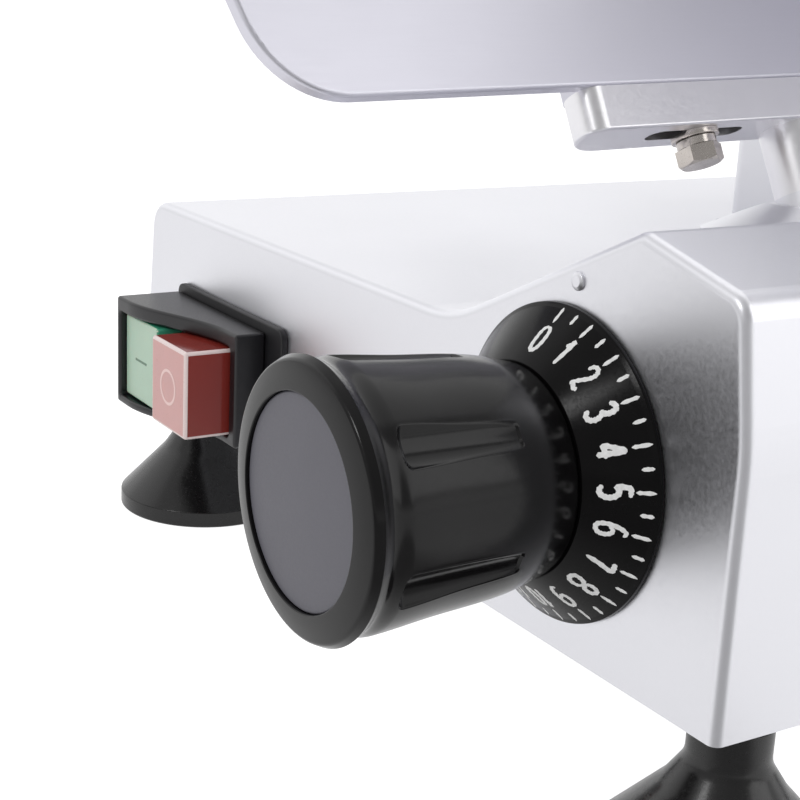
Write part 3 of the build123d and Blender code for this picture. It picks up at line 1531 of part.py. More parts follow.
# Sharpener that rests on the rim of the head
with BuildPart() as sharpener_housing:
    with BuildSketch(head.offset(-sharpener_rear)):
        with Locations((0, (sharpener_low + sharpener_top) / 2)):
            Rectangle(2 * sharpener_half_width, sharpener_top - sharpener_low)
    extrude(amount=sharpener_rear + sharpener_nose)
    long_edges = sharpener_housing.edges().filter_by(Axis(head.origin, outward))
    fillet(long_edges.sort_by(Axis(head.origin, upward))[-2:], radius=sharpener_edge_radius)
    # Room for the rim of the head, the blade edge and the stone
    rim_room = [
        (0, -dish_rim_front + gap),
        (dish_radius + gap, -dish_rim_front + gap),
        (dish_radius + gap, -sharpener_rear - gap),
        (0, -sharpener_rear - gap),
    ]
    with BuildSketch(head_section) as rim_profile:
        with BuildLine():
            Polyline(*rim_room, close=True)
        make_face()
    revolve(rim_profile.sketch, axis=head_axis, mode=Mode.SUBTRACT)
    with BuildSketch(head.offset(-sharpener_slot_back)):
        with Locations((0, sharpener_slot_top / 2)):
            Rectangle(2 * sharpener_half_width - 2 * base_wall, sharpener_slot_top)
    extrude(amount=sharpener_slot_back + sharpener_slot_front, mode=Mode.SUBTRACT)
    with BuildSketch(head.offset(-sharpener_slot_back)):
        Circle(blade_radius + 2 * plate_blade_gap)
    extrude(amount=sharpener_slot_back + sharpener_slot_front, mode=Mode.SUBTRACT)
    bore_foot = head.from_local_coords((guide_post_side_reach, 0, -guide_post_depth))
    post_bore = Plane(origin=bore_foot, x_dir=(0, 1, 0), z_dir=upward)
    post_reach = dish_radius - dish_wall / 2 + guide_post_height + gap
    rod_along(post_bore, guide_post_radius + slip, post_reach, mode=Mode.SUBTRACT)
    with BuildSketch(head):
        with Locations((stone_side_reach, stone_rise)):
            Circle(stone_spindle_radius + slip)
    extrude(amount=-sharpener_rear, mode=Mode.SUBTRACT)
pieces["sharpener_housing"] = sharpener_housing

with BuildPart() as grinding_stone:
    with BuildSketch(head.offset(-stone_front)):
        with Locations((stone_side_reach, stone_rise)):
            Circle(stone_radius)
            Circle(stone_spindle_radius + slip, mode=Mode.SUBTRACT)
    extrude(amount=-stone_thickness)
pieces["grinding_stone"] = grinding_stone

with BuildPart() as stone_spindle:
    spindle_front = head.offset(-stone_front)
    with BuildSketch(spindle_front):
        with Locations((stone_side_reach, stone_rise)):
            Circle(stone_spindle_radius)
    extrude(amount=stone_front - sharpener_rear - stone_button_gap - stone_button_length)
    with BuildSketch(head.offset(-sharpener_rear - stone_button_gap)):
        with Locations((stone_side_reach, stone_rise)):
            Circle(stone_button_radius)
    extrude(amount=-stone_button_length)
pieces["stone_spindle"] = stone_spindle

with BuildPart() as cover_screws:
    with BuildSketch(Plane.XY.offset(cover_low_z)):
        with Locations(*cover_screw_places):
            Circle(small_head_radius)
    extrude(amount=-small_head_height)
    with BuildSketch(Plane.XY.offset(cover_low_z)):
        with Locations(*cover_screw_places):
            Circle(small_screw_radius)
    extrude(amount=small_screw_grip)
    ear_face = head.offset(-cover_front - cover_ear_thickness)
    with BuildSketch(ear_face):
        with Locations(*cover_ears):
            Circle(small_head_radius)
    extrude(amount=-small_head_height)
    with BuildSketch(ear_face):
        with Locations(*cover_ears):
            Circle(small_screw_radius)
    extrude(amount=cover_ear_thickness + dish_plate_back - dish_plate_front)
    guard_face = head.offset(-dish_rim_front + guard_web_thickness)
    screw_steps = ((small_head_radius, small_head_height), (small_screw_radius, -small_screw_grip))
    for radius, amount in screw_steps:
        with BuildSketch(guard_face):
            for turn in guard_screw_degs:
                with Locations(Rotation(0, 0, turn) * Location((guard_screw_radius, 0, 0))):
                    Circle(radius)
        extrude(amount=amount)
pieces["cover_screws"] = cover_screws

# Carriage: slider inside the base, arm outside it, tray on top
with BuildPart() as carriage_guide_bar:
    rod_along(
        Plane(origin=(carriage_bar_x, carriage_bar_front_y, carriage_bar_z), z_dir=(0, 1, 0)),
        carriage_bar_radius,
        inner_back_y - carriage_bar_front_y,
    )
pieces["carriage_guide_bar"] = carriage_guide_bar

wall_face_x = base_right_x + flange_wall_gap
flange_face_x = wall_face_x + flange_thickness
with BuildPart() as carriage_slider:
    runner_front_y = runner_y - runner_length / 2
    runner_back_y = runner_y + runner_length / 2
    box_between(
        (carriage_bar_x - runner_half_width, runner_front_y, carriage_bar_z - runner_half_height),
        (carriage_bar_x + runner_half_width, runner_back_y, carriage_bar_z + runner_half_height),
    )
    box_between(
        (carriage_bar_x, runner_y - neck_half_length, carriage_bar_z - neck_half_height),
        (flange_face_x, runner_y + neck_half_length, carriage_bar_z + neck_half_height),
    )
    box_between(
        (wall_face_x, runner_y - flange_half_length, carriage_bar_z - flange_half_height),
        (flange_face_x, runner_y + flange_half_length, carriage_bar_z + flange_half_height),
    )
    rail_bore = Plane(origin=(carriage_bar_x, -over - back_y, carriage_bar_z), z_dir=(0, 1, 0))
    rod_along(rail_bore, carriage_bar_radius + slip, 2 * back_y + 2 * over, mode=Mode.SUBTRACT)
    stud_bore = Plane(origin=(flange_face_x, runner_y, carriage_bar_z), z_dir=(-1, 0, 0))
    rod_along(stud_bore, lock_stud_radius + slip, lock_stud_grip + gap, mode=Mode.SUBTRACT)
pieces["carriage_slider"] = carriage_slider

arm_outer_x = flange_face_x + arm_foot_width
tray_under_a = tray_plane.from_local_coords((arm_top_inner, 0, tray_low))
tray_under_b = tray_plane.from_local_coords((arm_top_outer, 0, tray_low))
tray_under_c = tray_plane.from_local_coords((arm_top_outer, 0, tray_low - arm_top_thickness))
tray_under_d = tray_plane.from_local_coords((arm_top_inner, 0, tray_low - arm_top_thickness))
with BuildPart() as carriage_arm:
    foot_low_z = carriage_bar_z - arm_foot_half_height
    foot_high_z = carriage_bar_z + arm_foot_half_height
    seat_inner = tray_plane.from_local_coords((arm_seat_inner, 0, tray_low - arm_top_thickness / 2))
    seat_outer = tray_plane.from_local_coords((arm_seat_outer, 0, tray_low - arm_top_thickness / 2))
    with BuildSketch(across(runner_y - arm_foot_half_length)):
        with BuildLine():
            Polyline(
                (flange_face_x, foot_low_z),
                (arm_outer_x, foot_low_z),
                (arm_outer_x, foot_high_z),
                (flange_face_x + arm_thickness, arm_elbow_z),
                (seat_outer.X, seat_outer.Z),
                (seat_inner.X, seat_inner.Z),
                (flange_face_x, arm_elbow_z),
                close=True,
            )
        make_face()
    extrude(amount=-2 * arm_foot_half_length)
    with BuildSketch(across(runner_y - arm_top_half_length)):
        with BuildLine():
            Polyline(
                (tray_under_a.X, tray_under_a.Z),
                (tray_under_b.X, tray_under_b.Z),
                (tray_under_c.X, tray_under_c.Z),
                (tray_under_d.X, tray_under_d.Z),
                close=True,
            )
        make_face()
    extrude(amount=-2 * arm_top_half_length)
    stud_bore = Plane(origin=(arm_outer_x, runner_y, carriage_bar_z), z_dir=(-1, 0, 0))
    rod_along(stud_bore, lock_stud_radius + running, arm_foot_width, mode=Mode.SUBTRACT)
pieces["carriage_arm"] = carriage_arm

with BuildPart() as carriage_lock_knob:
    lock_plane = Plane(origin=(arm_outer_x + gap, runner_y, carriage_bar_z), z_dir=(1, 0, 0))
    rod_along(lock_plane, lock_knob_radius, lock_knob_length)
    fillet(carriage_lock_knob.faces().sort_by(Axis.X)[-1].edges(), radius=tie_knob_flute_radius)
    with BuildSketch(lock_plane):
        with PolarLocations(lock_knob_radius + lock_lobe_radius / 2, lock_knob_lobes):
            Circle(lock_lobe_radius)
    extrude(amount=lock_knob_length, mode=Mode.SUBTRACT)
    rod_along(lock_plane, lock_stud_radius, -arm_foot_width - lock_stud_grip)
pieces["carriage_lock_knob"] = carriage_lock_knob

# Product tray with its far lip, right lip and a lug for the fence and handle
tray_far_y = tray_near_y + tray_length
tray_right = tray_gap + tray_width
tray_top = tray_low + tray_thickness


def tray_box(low, high, mode=Mode.ADD):
    """Box in the tilted frame of the tray: out, along the machine, up."""
    spans = [b - a for a, b in zip(low, high)]
    frame = Plane(origin=tray_plane.from_local_coords(low), x_dir=outward, z_dir=upward)
    with Locations(frame):
        Box(*spans, align=(Align.MIN, Align.MIN, Align.MIN), mode=mode)


with BuildPart() as product_tray:
    tray_box((tray_gap, tray_near_y, tray_low), (tray_right, tray_far_y, tray_top))
    lip_top = tray_top + tray_lip_height
    far_lip_top = tray_top + tray_far_lip_height
    tray_box((tray_right - tray_lip, tray_near_y, tray_low), (tray_right, tray_far_y, lip_top))
    tray_box((tray_gap, tray_far_y - tray_lip, tray_low), (tray_right, tray_far_y, far_lip_top))
    tray_box(
        (tray_right, tray_near_y, tray_low),
        (tray_right + handle_ear, tray_near_y + handle_ear_length, tray_top + tray_thickness),
    )
    upright_edges = product_tray.edges().filter_by(Axis(tray_plane.origin, upward))
    fillet(upright_edges.sort_by(Axis(tray_plane.origin, outward))[-2:], radius=tray_corner_radius)
    groove_pitch = (tray_length - tray_lip) / (tray_groove_count + 1)
    for number in range(tray_groove_count):
        groove_y = tray_near_y + groove_pitch * (number + 1)
        tray_box(
            (tray_gap + tray_lip, groove_y - tray_groove_width / 2, tray_top - tray_groove_depth),
            (tray_right - 2 * tray_lip, groove_y + tray_groove_width / 2, tray_top),
            mode=Mode.SUBTRACT,
        )
    handle_seat = tray_plane.from_local_coords((handle_reach, handle_middle_y, tray_low))
    handle_base = Plane(origin=handle_seat, x_dir=outward, z_dir=upward)
    rod_along(handle_base, handle_stud_radius + slip, over, mode=Mode.SUBTRACT)
pieces["product_tray"] = product_tray

handle_foot_u = tray_top + tray_thickness
handle_outline = [
    (0, handle_foot_u),
    (handle_foot_radius, handle_foot_u),
    (handle_foot_radius, handle_foot_u + handle_foot_radius / 2),
    (handle_waist_radius, handle_foot_u + handle_foot_radius),
    (handle_radius, handle_foot_u + handle_height * handle_bulge_share),
    (handle_waist_radius, handle_foot_u + handle_height * handle_neck_share),
    (handle_ball_radius, handle_foot_u + handle_height - handle_ball_radius),
    (handle_waist_radius, handle_foot_u + handle_height),
    (0, handle_foot_u + handle_height),
]
with BuildPart() as carriage_handle:
    handle_origin = tray_plane.from_local_coords((handle_reach, handle_middle_y, 0))
    handle_section = Plane(origin=handle_origin, x_dir=outward, z_dir=(0, -1, 0))
    turned(handle_section, Axis(handle_origin, upward), handle_outline)
    rod_along(handle_base, handle_stud_radius, tray_thickness)
    rod_along(handle_base, handle_stud_radius, handle_foot_u)
pieces["carriage_handle"] = carriage_handle

# Fence on the operator's side of the tray, with two lugs for the pusher rod
fence_near_y = tray_near_y - fence_thickness
rod_y = fence_near_y - rod_stand_off + fence_thickness
rod_u = rod_height
with BuildPart() as tray_fence:
    tray_box((tray_gap, fence_near_y, tray_low), (tray_gap + fence_width, tray_near_y, fence_height))
    fillet(
        tray_fence.edges().filter_by(Axis.Y).sort_by(Axis(tray_plane.origin, outward + upward))[-1],
        radius=fence_corner_radius,
    )
    for lug_n in (rod_start_reach, rod_end_reach - lug_reach / 2):
        lug_plane = Plane(
            origin=tray_plane.from_local_coords((lug_n, rod_y, rod_u)), x_dir=(0, 1, 0), z_dir=outward
        )
        with BuildSketch(lug_plane):
            Circle(lug_radius)
            with Locations(((fence_near_y - rod_y) / 2, 0)):
                Rectangle(fence_near_y - rod_y, 2 * lug_width)
        extrude(amount=lug_reach / 2)
        rod_along(lug_plane, rod_radius + slip, lug_reach / 2, mode=Mode.SUBTRACT)
pieces["tray_fence"] = tray_fence

rod_plane = Plane(origin=tray_plane.from_local_coords((0, rod_y, rod_u)), x_dir=(0, 1, 0), z_dir=outward)
with BuildPart() as pusher_rod:
    rod_along(rod_plane.offset(rod_start_reach), rod_radius, rod_end_reach - rod_start_reach)
pieces["pusher_rod"] = pusher_rod

# Bush that slides on the rod, with a flange at each end to hold the pusher arm
bush_flange = bush_wall
pusher_end = pusher_start_reach + pusher_bush_length
with BuildPart() as pusher_bush:
    rod_along(rod_plane.offset(pusher_start_reach), rod_radius + bush_wall, pusher_bush_length)
    rod_along(rod_plane.offset(pusher_start_reach), rod_radius + 2 * bush_wall, bush_flange)
    rod_along(rod_plane.offset(pusher_end), rod_radius + 2 * bush_wall, -bush_flange)
    rod_along(rod_plane, rod_radius + running, rod_end_reach, mode=Mode.SUBTRACT)
pieces["pusher_bush"] = pusher_bush

# Pusher arm, plate and knob
arm_middle_n = pusher_start_reach + pusher_bush_length / 2
arm_half = pusher_arm_thickness / 2
hub_half = pusher_bush_length / 2 - bush_flange - gap
plate_middle_u = pusher_plate_low + pusher_plate_height / 2
with BuildPart() as pusher_arm:
    rod_along(rod_plane.offset(arm_middle_n - hub_half), pusher_hub_radius, 2 * hub_half)
    with BuildSketch(rod_plane.offset(arm_middle_n - arm_half)):
        with BuildLine():
            FilletPolyline(
                (0, 0),
                (0, pusher_arm_height - rod_u),
                (pusher_arm_reach, pusher_arm_height - rod_u),
                (pusher_arm_reach, plate_middle_u - rod_u),
                radius=pusher_corner_radius,
            )
        trace(line_width=pusher_arm_width)
    extrude(amount=pusher_arm_thickness)
    boss_centre = (pusher_arm_reach, plate_middle_u - rod_u, arm_middle_n + arm_half)
    boss_plane = Plane(
        origin=rod_plane.from_local_coords(boss_centre),
        x_dir=(0, 1, 0),
        z_dir=-outward,
    )
    boss_reach = arm_middle_n + arm_half - pusher_plate_back
    rod_along(boss_plane, pusher_arm_width / 2 + bush_wall, boss_reach)
    rod_along(rod_plane, rod_radius + bush_wall + running, rod_end_reach, mode=Mode.SUBTRACT)
pieces["pusher_arm"] = pusher_arm

with BuildPart() as pusher_plate:
    plate_plane = rod_plane.offset(pusher_plate_back)
    with BuildSketch(plate_plane):
        with Locations((pusher_arm_reach, plate_middle_u - rod_u)):
            RectangleRounded(pusher_plate_width, pusher_plate_height, pusher_corner_radius)
    extrude(amount=-pusher_plate_thickness)
    spike_plane = plate_plane.offset(-pusher_plate_thickness)
    for column in range(spike_columns):
        for row in range(spike_rows):
            spike_y = pusher_arm_reach + spike_pitch * (column - (spike_columns - 1) / 2)
            spike_u = plate_middle_u - rod_u + spike_pitch * (row - (spike_rows - 1) / 2)
            spike_frame = Plane(
                origin=spike_plane.from_local_coords((spike_y, spike_u, 0)), x_dir=(0, 1, 0), z_dir=-outward
            )
            with Locations(spike_frame):
                Cone(
                    spike_radius,
                    spike_radius / 4,
                    spike_length,
                    align=(Align.CENTER, Align.CENTER, Align.MIN),
                )
pieces["pusher_plate"] = pusher_plate

with BuildPart() as pusher_knob:
    knob_u = pusher_arm_height + pusher_arm_width / 2 - rod_u
    knob_frame = Plane(
        origin=rod_plane.from_local_coords((pusher_arm_reach / 2, knob_u, arm_middle_n)),
        x_dir=(0, 1, 0),
        z_dir=upward,
    )
    rod_along(knob_frame, pusher_knob_radius / 2, pusher_knob_radius / 2)
    with Locations(knob_frame.offset(pusher_knob_radius * knob_rise_share)):
        Sphere(pusher_knob_radius)
    with BuildSketch(knob_frame):
        Rectangle(over, over)
    extrude(amount=-over, mode=Mode.SUBTRACT)
pieces["pusher_knob"] = pusher_knob

os.makedirs("parts", exist_ok=True)
for label, piece in pieces.items():
    piece.part.label = label
    export_step(piece.part, f"parts/{label}.step")
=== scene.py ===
"""Looks of the meat slicer: meshes, finishes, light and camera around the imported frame."""

import json
import logging
import math
import random
from dataclasses import dataclass, field
from enum import Enum
from typing import Any, Callable, Iterable, Sequence

import bmesh
import bpy
from mathutils import Matrix, Vector


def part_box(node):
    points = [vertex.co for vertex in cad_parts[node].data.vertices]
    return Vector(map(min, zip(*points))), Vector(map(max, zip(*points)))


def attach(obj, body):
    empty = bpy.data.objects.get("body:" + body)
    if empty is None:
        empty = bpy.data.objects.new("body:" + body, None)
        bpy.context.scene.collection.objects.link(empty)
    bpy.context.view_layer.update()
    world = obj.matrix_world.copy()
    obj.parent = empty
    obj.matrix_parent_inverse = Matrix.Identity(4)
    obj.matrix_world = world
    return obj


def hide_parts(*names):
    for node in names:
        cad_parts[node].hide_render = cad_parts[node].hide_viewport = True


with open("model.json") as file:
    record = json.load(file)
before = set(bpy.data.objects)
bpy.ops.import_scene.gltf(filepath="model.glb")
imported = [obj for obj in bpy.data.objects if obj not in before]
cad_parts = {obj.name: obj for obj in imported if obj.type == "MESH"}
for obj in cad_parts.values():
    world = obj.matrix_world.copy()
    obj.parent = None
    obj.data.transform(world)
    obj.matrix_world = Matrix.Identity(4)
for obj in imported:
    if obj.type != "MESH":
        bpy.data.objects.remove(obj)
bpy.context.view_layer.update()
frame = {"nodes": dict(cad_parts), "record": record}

log = logging.getLogger("slicer")

Point2 = tuple[float, float]
Faces = list[tuple[int, ...]]
MM = 0.001
TILT = math.radians(27.0)
OUTWARD = Vector((math.cos(TILT), 0.0, math.sin(TILT)))
UPWARD = Vector((-math.sin(TILT), 0.0, math.cos(TILT)))
ALONG = Vector((0.0, 1.0, 0.0))
LEAN = math.radians(1.8)
PLATE_FOOT = Vector((-1.14, 0.0, 142.2))
GAUGE_ALONG = math.cos(LEAN) * ALONG + math.sin(LEAN) * UPWARD
GAUGE_UP = math.cos(LEAN) * UPWARD - math.sin(LEAN) * ALONG
BLADE_CENTRE = PLATE_FOOT + 71.0 * ALONG + 108.0 * UPWARD
DIAL_CENTRE = Vector((77.0, -155.0, 74.75))
FRONT_Y = -155.0
FORWARD = Vector((0.0, -1.0, 0.0))
VERTICAL = Vector((0.0, 0.0, 1.0))
WHITE = (1.0, 1.0, 1.0, 1.0)


def srgb(code: str) -> tuple[float, float, float, float]:
    """Turn an sRGB hex colour into the linear colour that shaders take.

    Args:
        code: six hex digits with a leading hash.

    Returns:
        Linear red, green, blue and an alpha of one.
    """
    channels = [int(code[i : i + 2], 16) / 255.0 for i in (1, 3, 5)]
    linear = [c / 12.92 if c <= 0.04045 else ((c + 0.055) / 1.055) ** 2.4 for c in channels]
    return (linear[0], linear[1], linear[2], 1.0)


def add_node(
    tree: bpy.types.NodeTree, kind: str, inputs: dict[str | int, Any] | None = None, **attributes: Any
) -> bpy.types.Node:
    """Add one shader node with its inputs.

    Args:
        tree: node tree that receives the node.
        kind: Blender's type name of the node.
        inputs: a value, or an output socket to link, for each input by its name or place.
        attributes: properties of the node itself.

    Returns:
        The new node.
    """
    node = tree.nodes.new(kind)
    for name, value in attributes.items():
        setattr(node, name, value)
    for socket, value in (inputs or {}).items():
        if isinstance(value, bpy.types.NodeSocket):
            tree.links.new(value, node.inputs[socket])
        else:
            node.inputs[socket].default_value = value
    return node


def work_out(tree: bpy.types.NodeTree, operation: str, *values: Any) -> bpy.types.NodeSocket:
    """Result of one arithmetic node on numbers or sockets."""
    return add_node(tree, "ShaderNodeMath", dict(enumerate(values)), operation=operation).outputs[0]


def ramp(
    tree: bpy.types.NodeTree, value: Any, start: Point2, end: tuple[Any, Any], kind: str = "LINEAR"
) -> bpy.types.NodeSocket:
    """Carry a value from one range over to another.

    Args:
        tree: node tree that receives the node.
        value: socket with the value.
        start: range that the value has.
        end: range that the result has, as numbers or sockets.
        kind: LINEAR or SMOOTHSTEP.

    Returns:
        Socket with the result.
    """
    ends = {"Value": value, "From Min": start[0], "From Max": start[1], "To Min": end[0], "To Max": end[1]}
    return add_node(tree, "ShaderNodeMapRange", ends, interpolation_type=kind).outputs["Result"]


class Pattern(Enum):
    """How the fine texture of a surface runs, and how far it is drawn out along each axis."""

    GRAIN = (1.0, 1.0, 1.0)
    BRUSHED_X = (0.03, 1.0, 1.0)
    BRUSHED_Y = (1.0, 0.03, 1.0)
    BRUSHED_Z = (1.0, 1.0, 0.03)
    TURNED = (1.0, 0.0, 0.0)


@dataclass(frozen=True)
class Finish:
    """One real surface: what it is made of and how it was made."""

    name: str
    colour: str
    roughness: float
    metallic: float = 0.0
    ior: float = 1.5
    grain_mm: float = 0.6
    grain_depth_mm: float = 0.01
    pattern: Pattern = Pattern.GRAIN
    mottle: float = 0.04
    mottle_mm: float = 30.0
    gloss_spread: float = 0.05
    subsurface: float = 0.0
    specular: float = 0.5

    def make(self) -> bpy.types.Material:
        """Build the material, or return it where it exists already.

        Returns:
            The material, with its colour, roughness and bump patterns.
        """
        known = bpy.data.materials.get(self.name)
        if known is not None:
            return known
        material = bpy.data.materials.new(self.name)
        material.use_nodes = True
        tree = material.node_tree
        tree.nodes.clear()
        place = add_node(tree, "ShaderNodeTexCoord").outputs["Object"]
        fine = {"Scale": 1000.0 / self.grain_mm, "Detail": 3.0, "Roughness": 0.6}
        fine["Vector"] = self._drawn_out(tree, place)
        grain = add_node(tree, "ShaderNodeTexNoise", fine).outputs["Fac"]
        clouds = {"Scale": 1000.0 / self.mottle_mm, "Detail": 2.0, "Vector": place}
        blotch = add_node(tree, "ShaderNodeTexNoise", clouds).outputs["Fac"]
        base = srgb(self.colour)
        dark = tuple(c * (1.0 - self.mottle) for c in base[:3]) + (1.0,)
        light = tuple(min(1.0, c * (1.0 + self.mottle)) for c in base[:3]) + (1.0,)
        tint = add_node(tree, "ShaderNodeMix", {0: blotch, 6: dark, 7: light}, data_type="RGBA")
        smooth = max(0.02, self.roughness - self.gloss_spread)
        rough = min(1.0, self.roughness + self.gloss_spread)
        relief = {"Strength": 0.6, "Distance": self.grain_depth_mm * MM, "Height": grain}
        surface = {
            "Metallic": self.metallic,
            "Base Color": tint.outputs[2],
            "Roughness": ramp(tree, grain, (0.3, 0.7), (smooth, rough)),
            "Normal": add_node(tree, "ShaderNodeBump", relief).outputs["Normal"],
        }
        if self.metallic < 0.5:
            surface.update({"IOR": self.ior, "Specular IOR Level": self.specular})
        if self.subsurface > 0.0:
            depth = {"Subsurface Radius": (1.0, 0.4, 0.3), "Subsurface Scale": 1.5 * MM}
            surface.update({"Subsurface Weight": self.subsurface, **depth})
        shader = add_node(tree, "ShaderNodeBsdfPrincipled", surface)
        add_node(tree, "ShaderNodeOutputMaterial", {"Surface": shader.outputs["BSDF"]})
        return material

    def _drawn_out(self, tree: bpy.types.NodeTree, place: bpy.types.NodeSocket) -> bpy.types.NodeSocket:
        """Draw the texture's place out along the brushing, so that grains become lines or circles."""
        if self.pattern is Pattern.GRAIN:
            return place
        if self.pattern is not Pattern.TURNED:
            drawn = add_node(tree, "ShaderNodeMapping", {"Scale": self.pattern.value, "Vector": place})
            return drawn.outputs["Vector"]
        vector, centre = "ShaderNodeVectorMath", tuple(BLADE_CENTRE * MM)
        arm = add_node(tree, vector, {0: place, 1: centre}, operation="SUBTRACT").outputs[0]
        across = add_node(tree, vector, {0: arm, 1: tuple(OUTWARD)}, operation="CROSS_PRODUCT").outputs[0]
        radius = add_node(tree, vector, {0: across}, operation="LENGTH").outputs["Value"]
        return add_node(tree, "ShaderNodeCombineXYZ", {"X": radius}).outputs["Vector"]


# Cast aluminium, fettled and satin polished by hand: near white, with a soft sheen and faint clouds
CAST_ALUMINIUM = Finish(
    "cast_aluminium_satin_polished", "#e8e8ed", 0.38, 1.0,
    grain_mm=0.9, grain_depth_mm=0.010, mottle=0.02, mottle_mm=45.0, gloss_spread=0.04,
)
# Aluminium plate, linished and anodised: a shade cooler than the casting, with a very fine grain
ANODISED_PLATE = Finish(
    "anodised_aluminium_plate", "#dcdbe4", 0.46, 1.0,
    grain_mm=0.45, grain_depth_mm=0.004, pattern=Pattern.BRUSHED_Y, mottle=0.015, gloss_spread=0.03,
)
# Cast arm under the plate, polished brighter than the base
POLISHED_ARM = Finish(
    "cast_aluminium_bright_polished", "#f1f0f3", 0.34, 1.0,
    grain_mm=0.9, grain_depth_mm=0.012, mottle=0.03, mottle_mm=20.0, gloss_spread=0.06,
)
# Machined aluminium inside the base: plain bright metal with cutter lines
MACHINED_ALUMINIUM = Finish(
    "machined_aluminium", "#c4c5c8", 0.36, 1.0, grain_mm=0.5, pattern=Pattern.BRUSHED_X
)
# Stainless sheet with a brushed mill finish
BRUSHED_SHEET = Finish(
    "stainless_sheet_brushed", "#c9cacd", 0.33, 1.0,
    grain_mm=0.5, grain_depth_mm=0.006, pattern=Pattern.BRUSHED_Z, mottle=0.03,
)
# Stainless fasteners, cold headed and tumbled: bright, slightly warm
FASTENER_STEEL = Finish(
    "stainless_fastener_tumbled", "#cdc6c0", 0.22, 1.0,
    grain_mm=0.4, grain_depth_mm=0.008, mottle=0.10, mottle_mm=3.0, gloss_spread=0.08,
)
# Ground and polished bar: mirror bright with fine rings
GROUND_BAR = Finish(
    "ground_steel_bar", "#d8d9db", 0.14, 1.0,
    grain_mm=0.4, grain_depth_mm=0.003, mottle=0.02, gloss_spread=0.04,
)
# Hard chromed blade steel, ground on a turning table: circles about its axis
BLADE_STEEL = Finish(
    "ground_blade_steel", "#d6d8dc", 0.20, 1.0,
    grain_mm=0.7, pattern=Pattern.TURNED, mottle=0.03, gloss_spread=0.08,
)
# Painted iron of the motor
MOTOR_PAINT = Finish("motor_painted_iron", "#3c3e42", 0.5, grain_mm=1.2, grain_depth_mm=0.03)
# Sintered bronze of the spindle bush
SINTERED_BRONZE = Finish("sintered_bronze", "#b48a4e", 0.45, 1.0, grain_mm=0.4, grain_depth_mm=0.02)
# Nitrile rubber, smooth moulded: black with a clear soft highlight
FOOT_RUBBER = Finish(
    "nitrile_rubber_moulded", "#0d0c0d", 0.24, ior=1.52,
    grain_mm=0.8, grain_depth_mm=0.008, mottle=0.15, mottle_mm=12.0,
)
# Sheet rubber of the switch seal
SEAL_RUBBER = Finish("sheet_rubber_seal", "#131216", 0.5, ior=1.52, grain_mm=0.5, grain_depth_mm=0.02)
# Belt rubber
BELT_RUBBER = Finish("drive_belt_rubber", "#18181a", 0.7, ior=1.52, grain_mm=0.8, grain_depth_mm=0.03)
# ABS from a lightly spark eroded tool: dull black that greys where it faces the light
BEZEL_ABS = Finish(
    "abs_spark_eroded", "#151418", 0.36, ior=1.53,
    grain_mm=0.35, grain_depth_mm=0.015, mottle=0.08, mottle_mm=14.0,
)
# Phenolic resin, polished in the mould: deep black with a clear gloss
KNOB_PHENOLIC = Finish(
    "phenolic_resin_polished", "#0a090a", 0.18, ior=1.6, specular=0.22,
    grain_mm=1.5, grain_depth_mm=0.002, mottle=0.12, mottle_mm=18.0, gloss_spread=0.03,
)
# Black anodised dial, turned: satin black with handling dust
DIAL_BLACK = Finish(
    "black_anodised_turned", "#0b0a0b", 0.20, ior=1.6, specular=0.09,
    grain_mm=0.5, grain_depth_mm=0.005, mottle=0.3, mottle_mm=6.0, gloss_spread=0.07,
)
# Grey polypropylene disc in the end of the knob: matt
CAP_GREY = Finish(
    "polypropylene_disc_matt", "#5f5e66", 0.5, ior=1.49,
    grain_mm=0.4, grain_depth_mm=0.02, mottle_mm=10.0, gloss_spread=0.04,
)
# Green polycarbonate front face: pale, painted light on the face
BUTTON_GREEN_FACE_PAINTED_LIGHT = Finish(
    "polycarbonate_green_face_painted_light", "#b4cfb9", 0.32, ior=1.58,
    grain_mm=0.6, grain_depth_mm=0.004, mottle=0.05, mottle_mm=9.0, subsurface=0.3,
)
# Green polycarbonate sides: the plastic's saturated green, kept darker than the face as painted shade
BUTTON_GREEN_SIDE_PAINTED_SHADE = Finish("polycarbonate_green_side_painted_shade", "#3f9c7c", 0.15, ior=1.58, specular=0.3)
# Red polycarbonate front face: pale pink, painted light on the face
BUTTON_RED_FACE_PAINTED_LIGHT = Finish(
    "polycarbonate_red_face_painted_light", "#d6a29e", 0.32, ior=1.58,
    grain_mm=0.6, grain_depth_mm=0.004, mottle=0.05, mottle_mm=9.0, subsurface=0.2,
)
# Red polycarbonate sides: the plastic's deep red, kept darker than the face as painted shade
BUTTON_RED_SIDE_PAINTED_SHADE = Finish("polycarbonate_red_side_painted_shade", "#8c322b", 0.12, ior=1.58, mottle=0.08, specular=0.3)
# Edges of the stop button: a painted highlight, nearly white, in place of the bright reflection along them
BUTTON_EDGE_PAINTED_HIGHLIGHT = Finish("polycarbonate_edge_painted_highlight", "#efdcd9", 0.3, ior=1.58)
# Pale ink of the stop ring
RING_INK = Finish("pale_ink", "#f3d3cf", 0.5, grain_mm=0.4)
# Dark ink of the start bar
BAR_INK = Finish("dark_ink", "#6f8a76", 0.5, grain_mm=0.4)
# White enamel brushed into the engraving by hand, so it is uneven
NUMERAL_ENAMEL = Finish(
    "white_enamel_hand_filled", "#eeeeec", 0.5, grain_mm=0.5, grain_depth_mm=0.05, mottle=0.22, mottle_mm=0.9
)
# Acetal of the pusher's bush
ACETAL_WHITE = Finish("acetal_white", "#e4e4e0", 0.4)
# Bonded grit of the grinding stone
GRIT_STONE = Finish(
    "bonded_grit", "#8c8177", 0.9, grain_mm=0.5, grain_depth_mm=0.12, mottle=0.15, mottle_mm=1.0
)


def body_of_node(node: str) -> str:
    """Name of the body that a CAD node rides on."""
    return next(b for b, members in frame["record"]["behaviour"]["bodies"].items() if node in members)


def slot_of_node(node: str) -> str:
    """Material slot that the record gives to a CAD node."""
    return next(s["material_slot"] for s in frame["record"]["subparts"] if s["node"] == node)


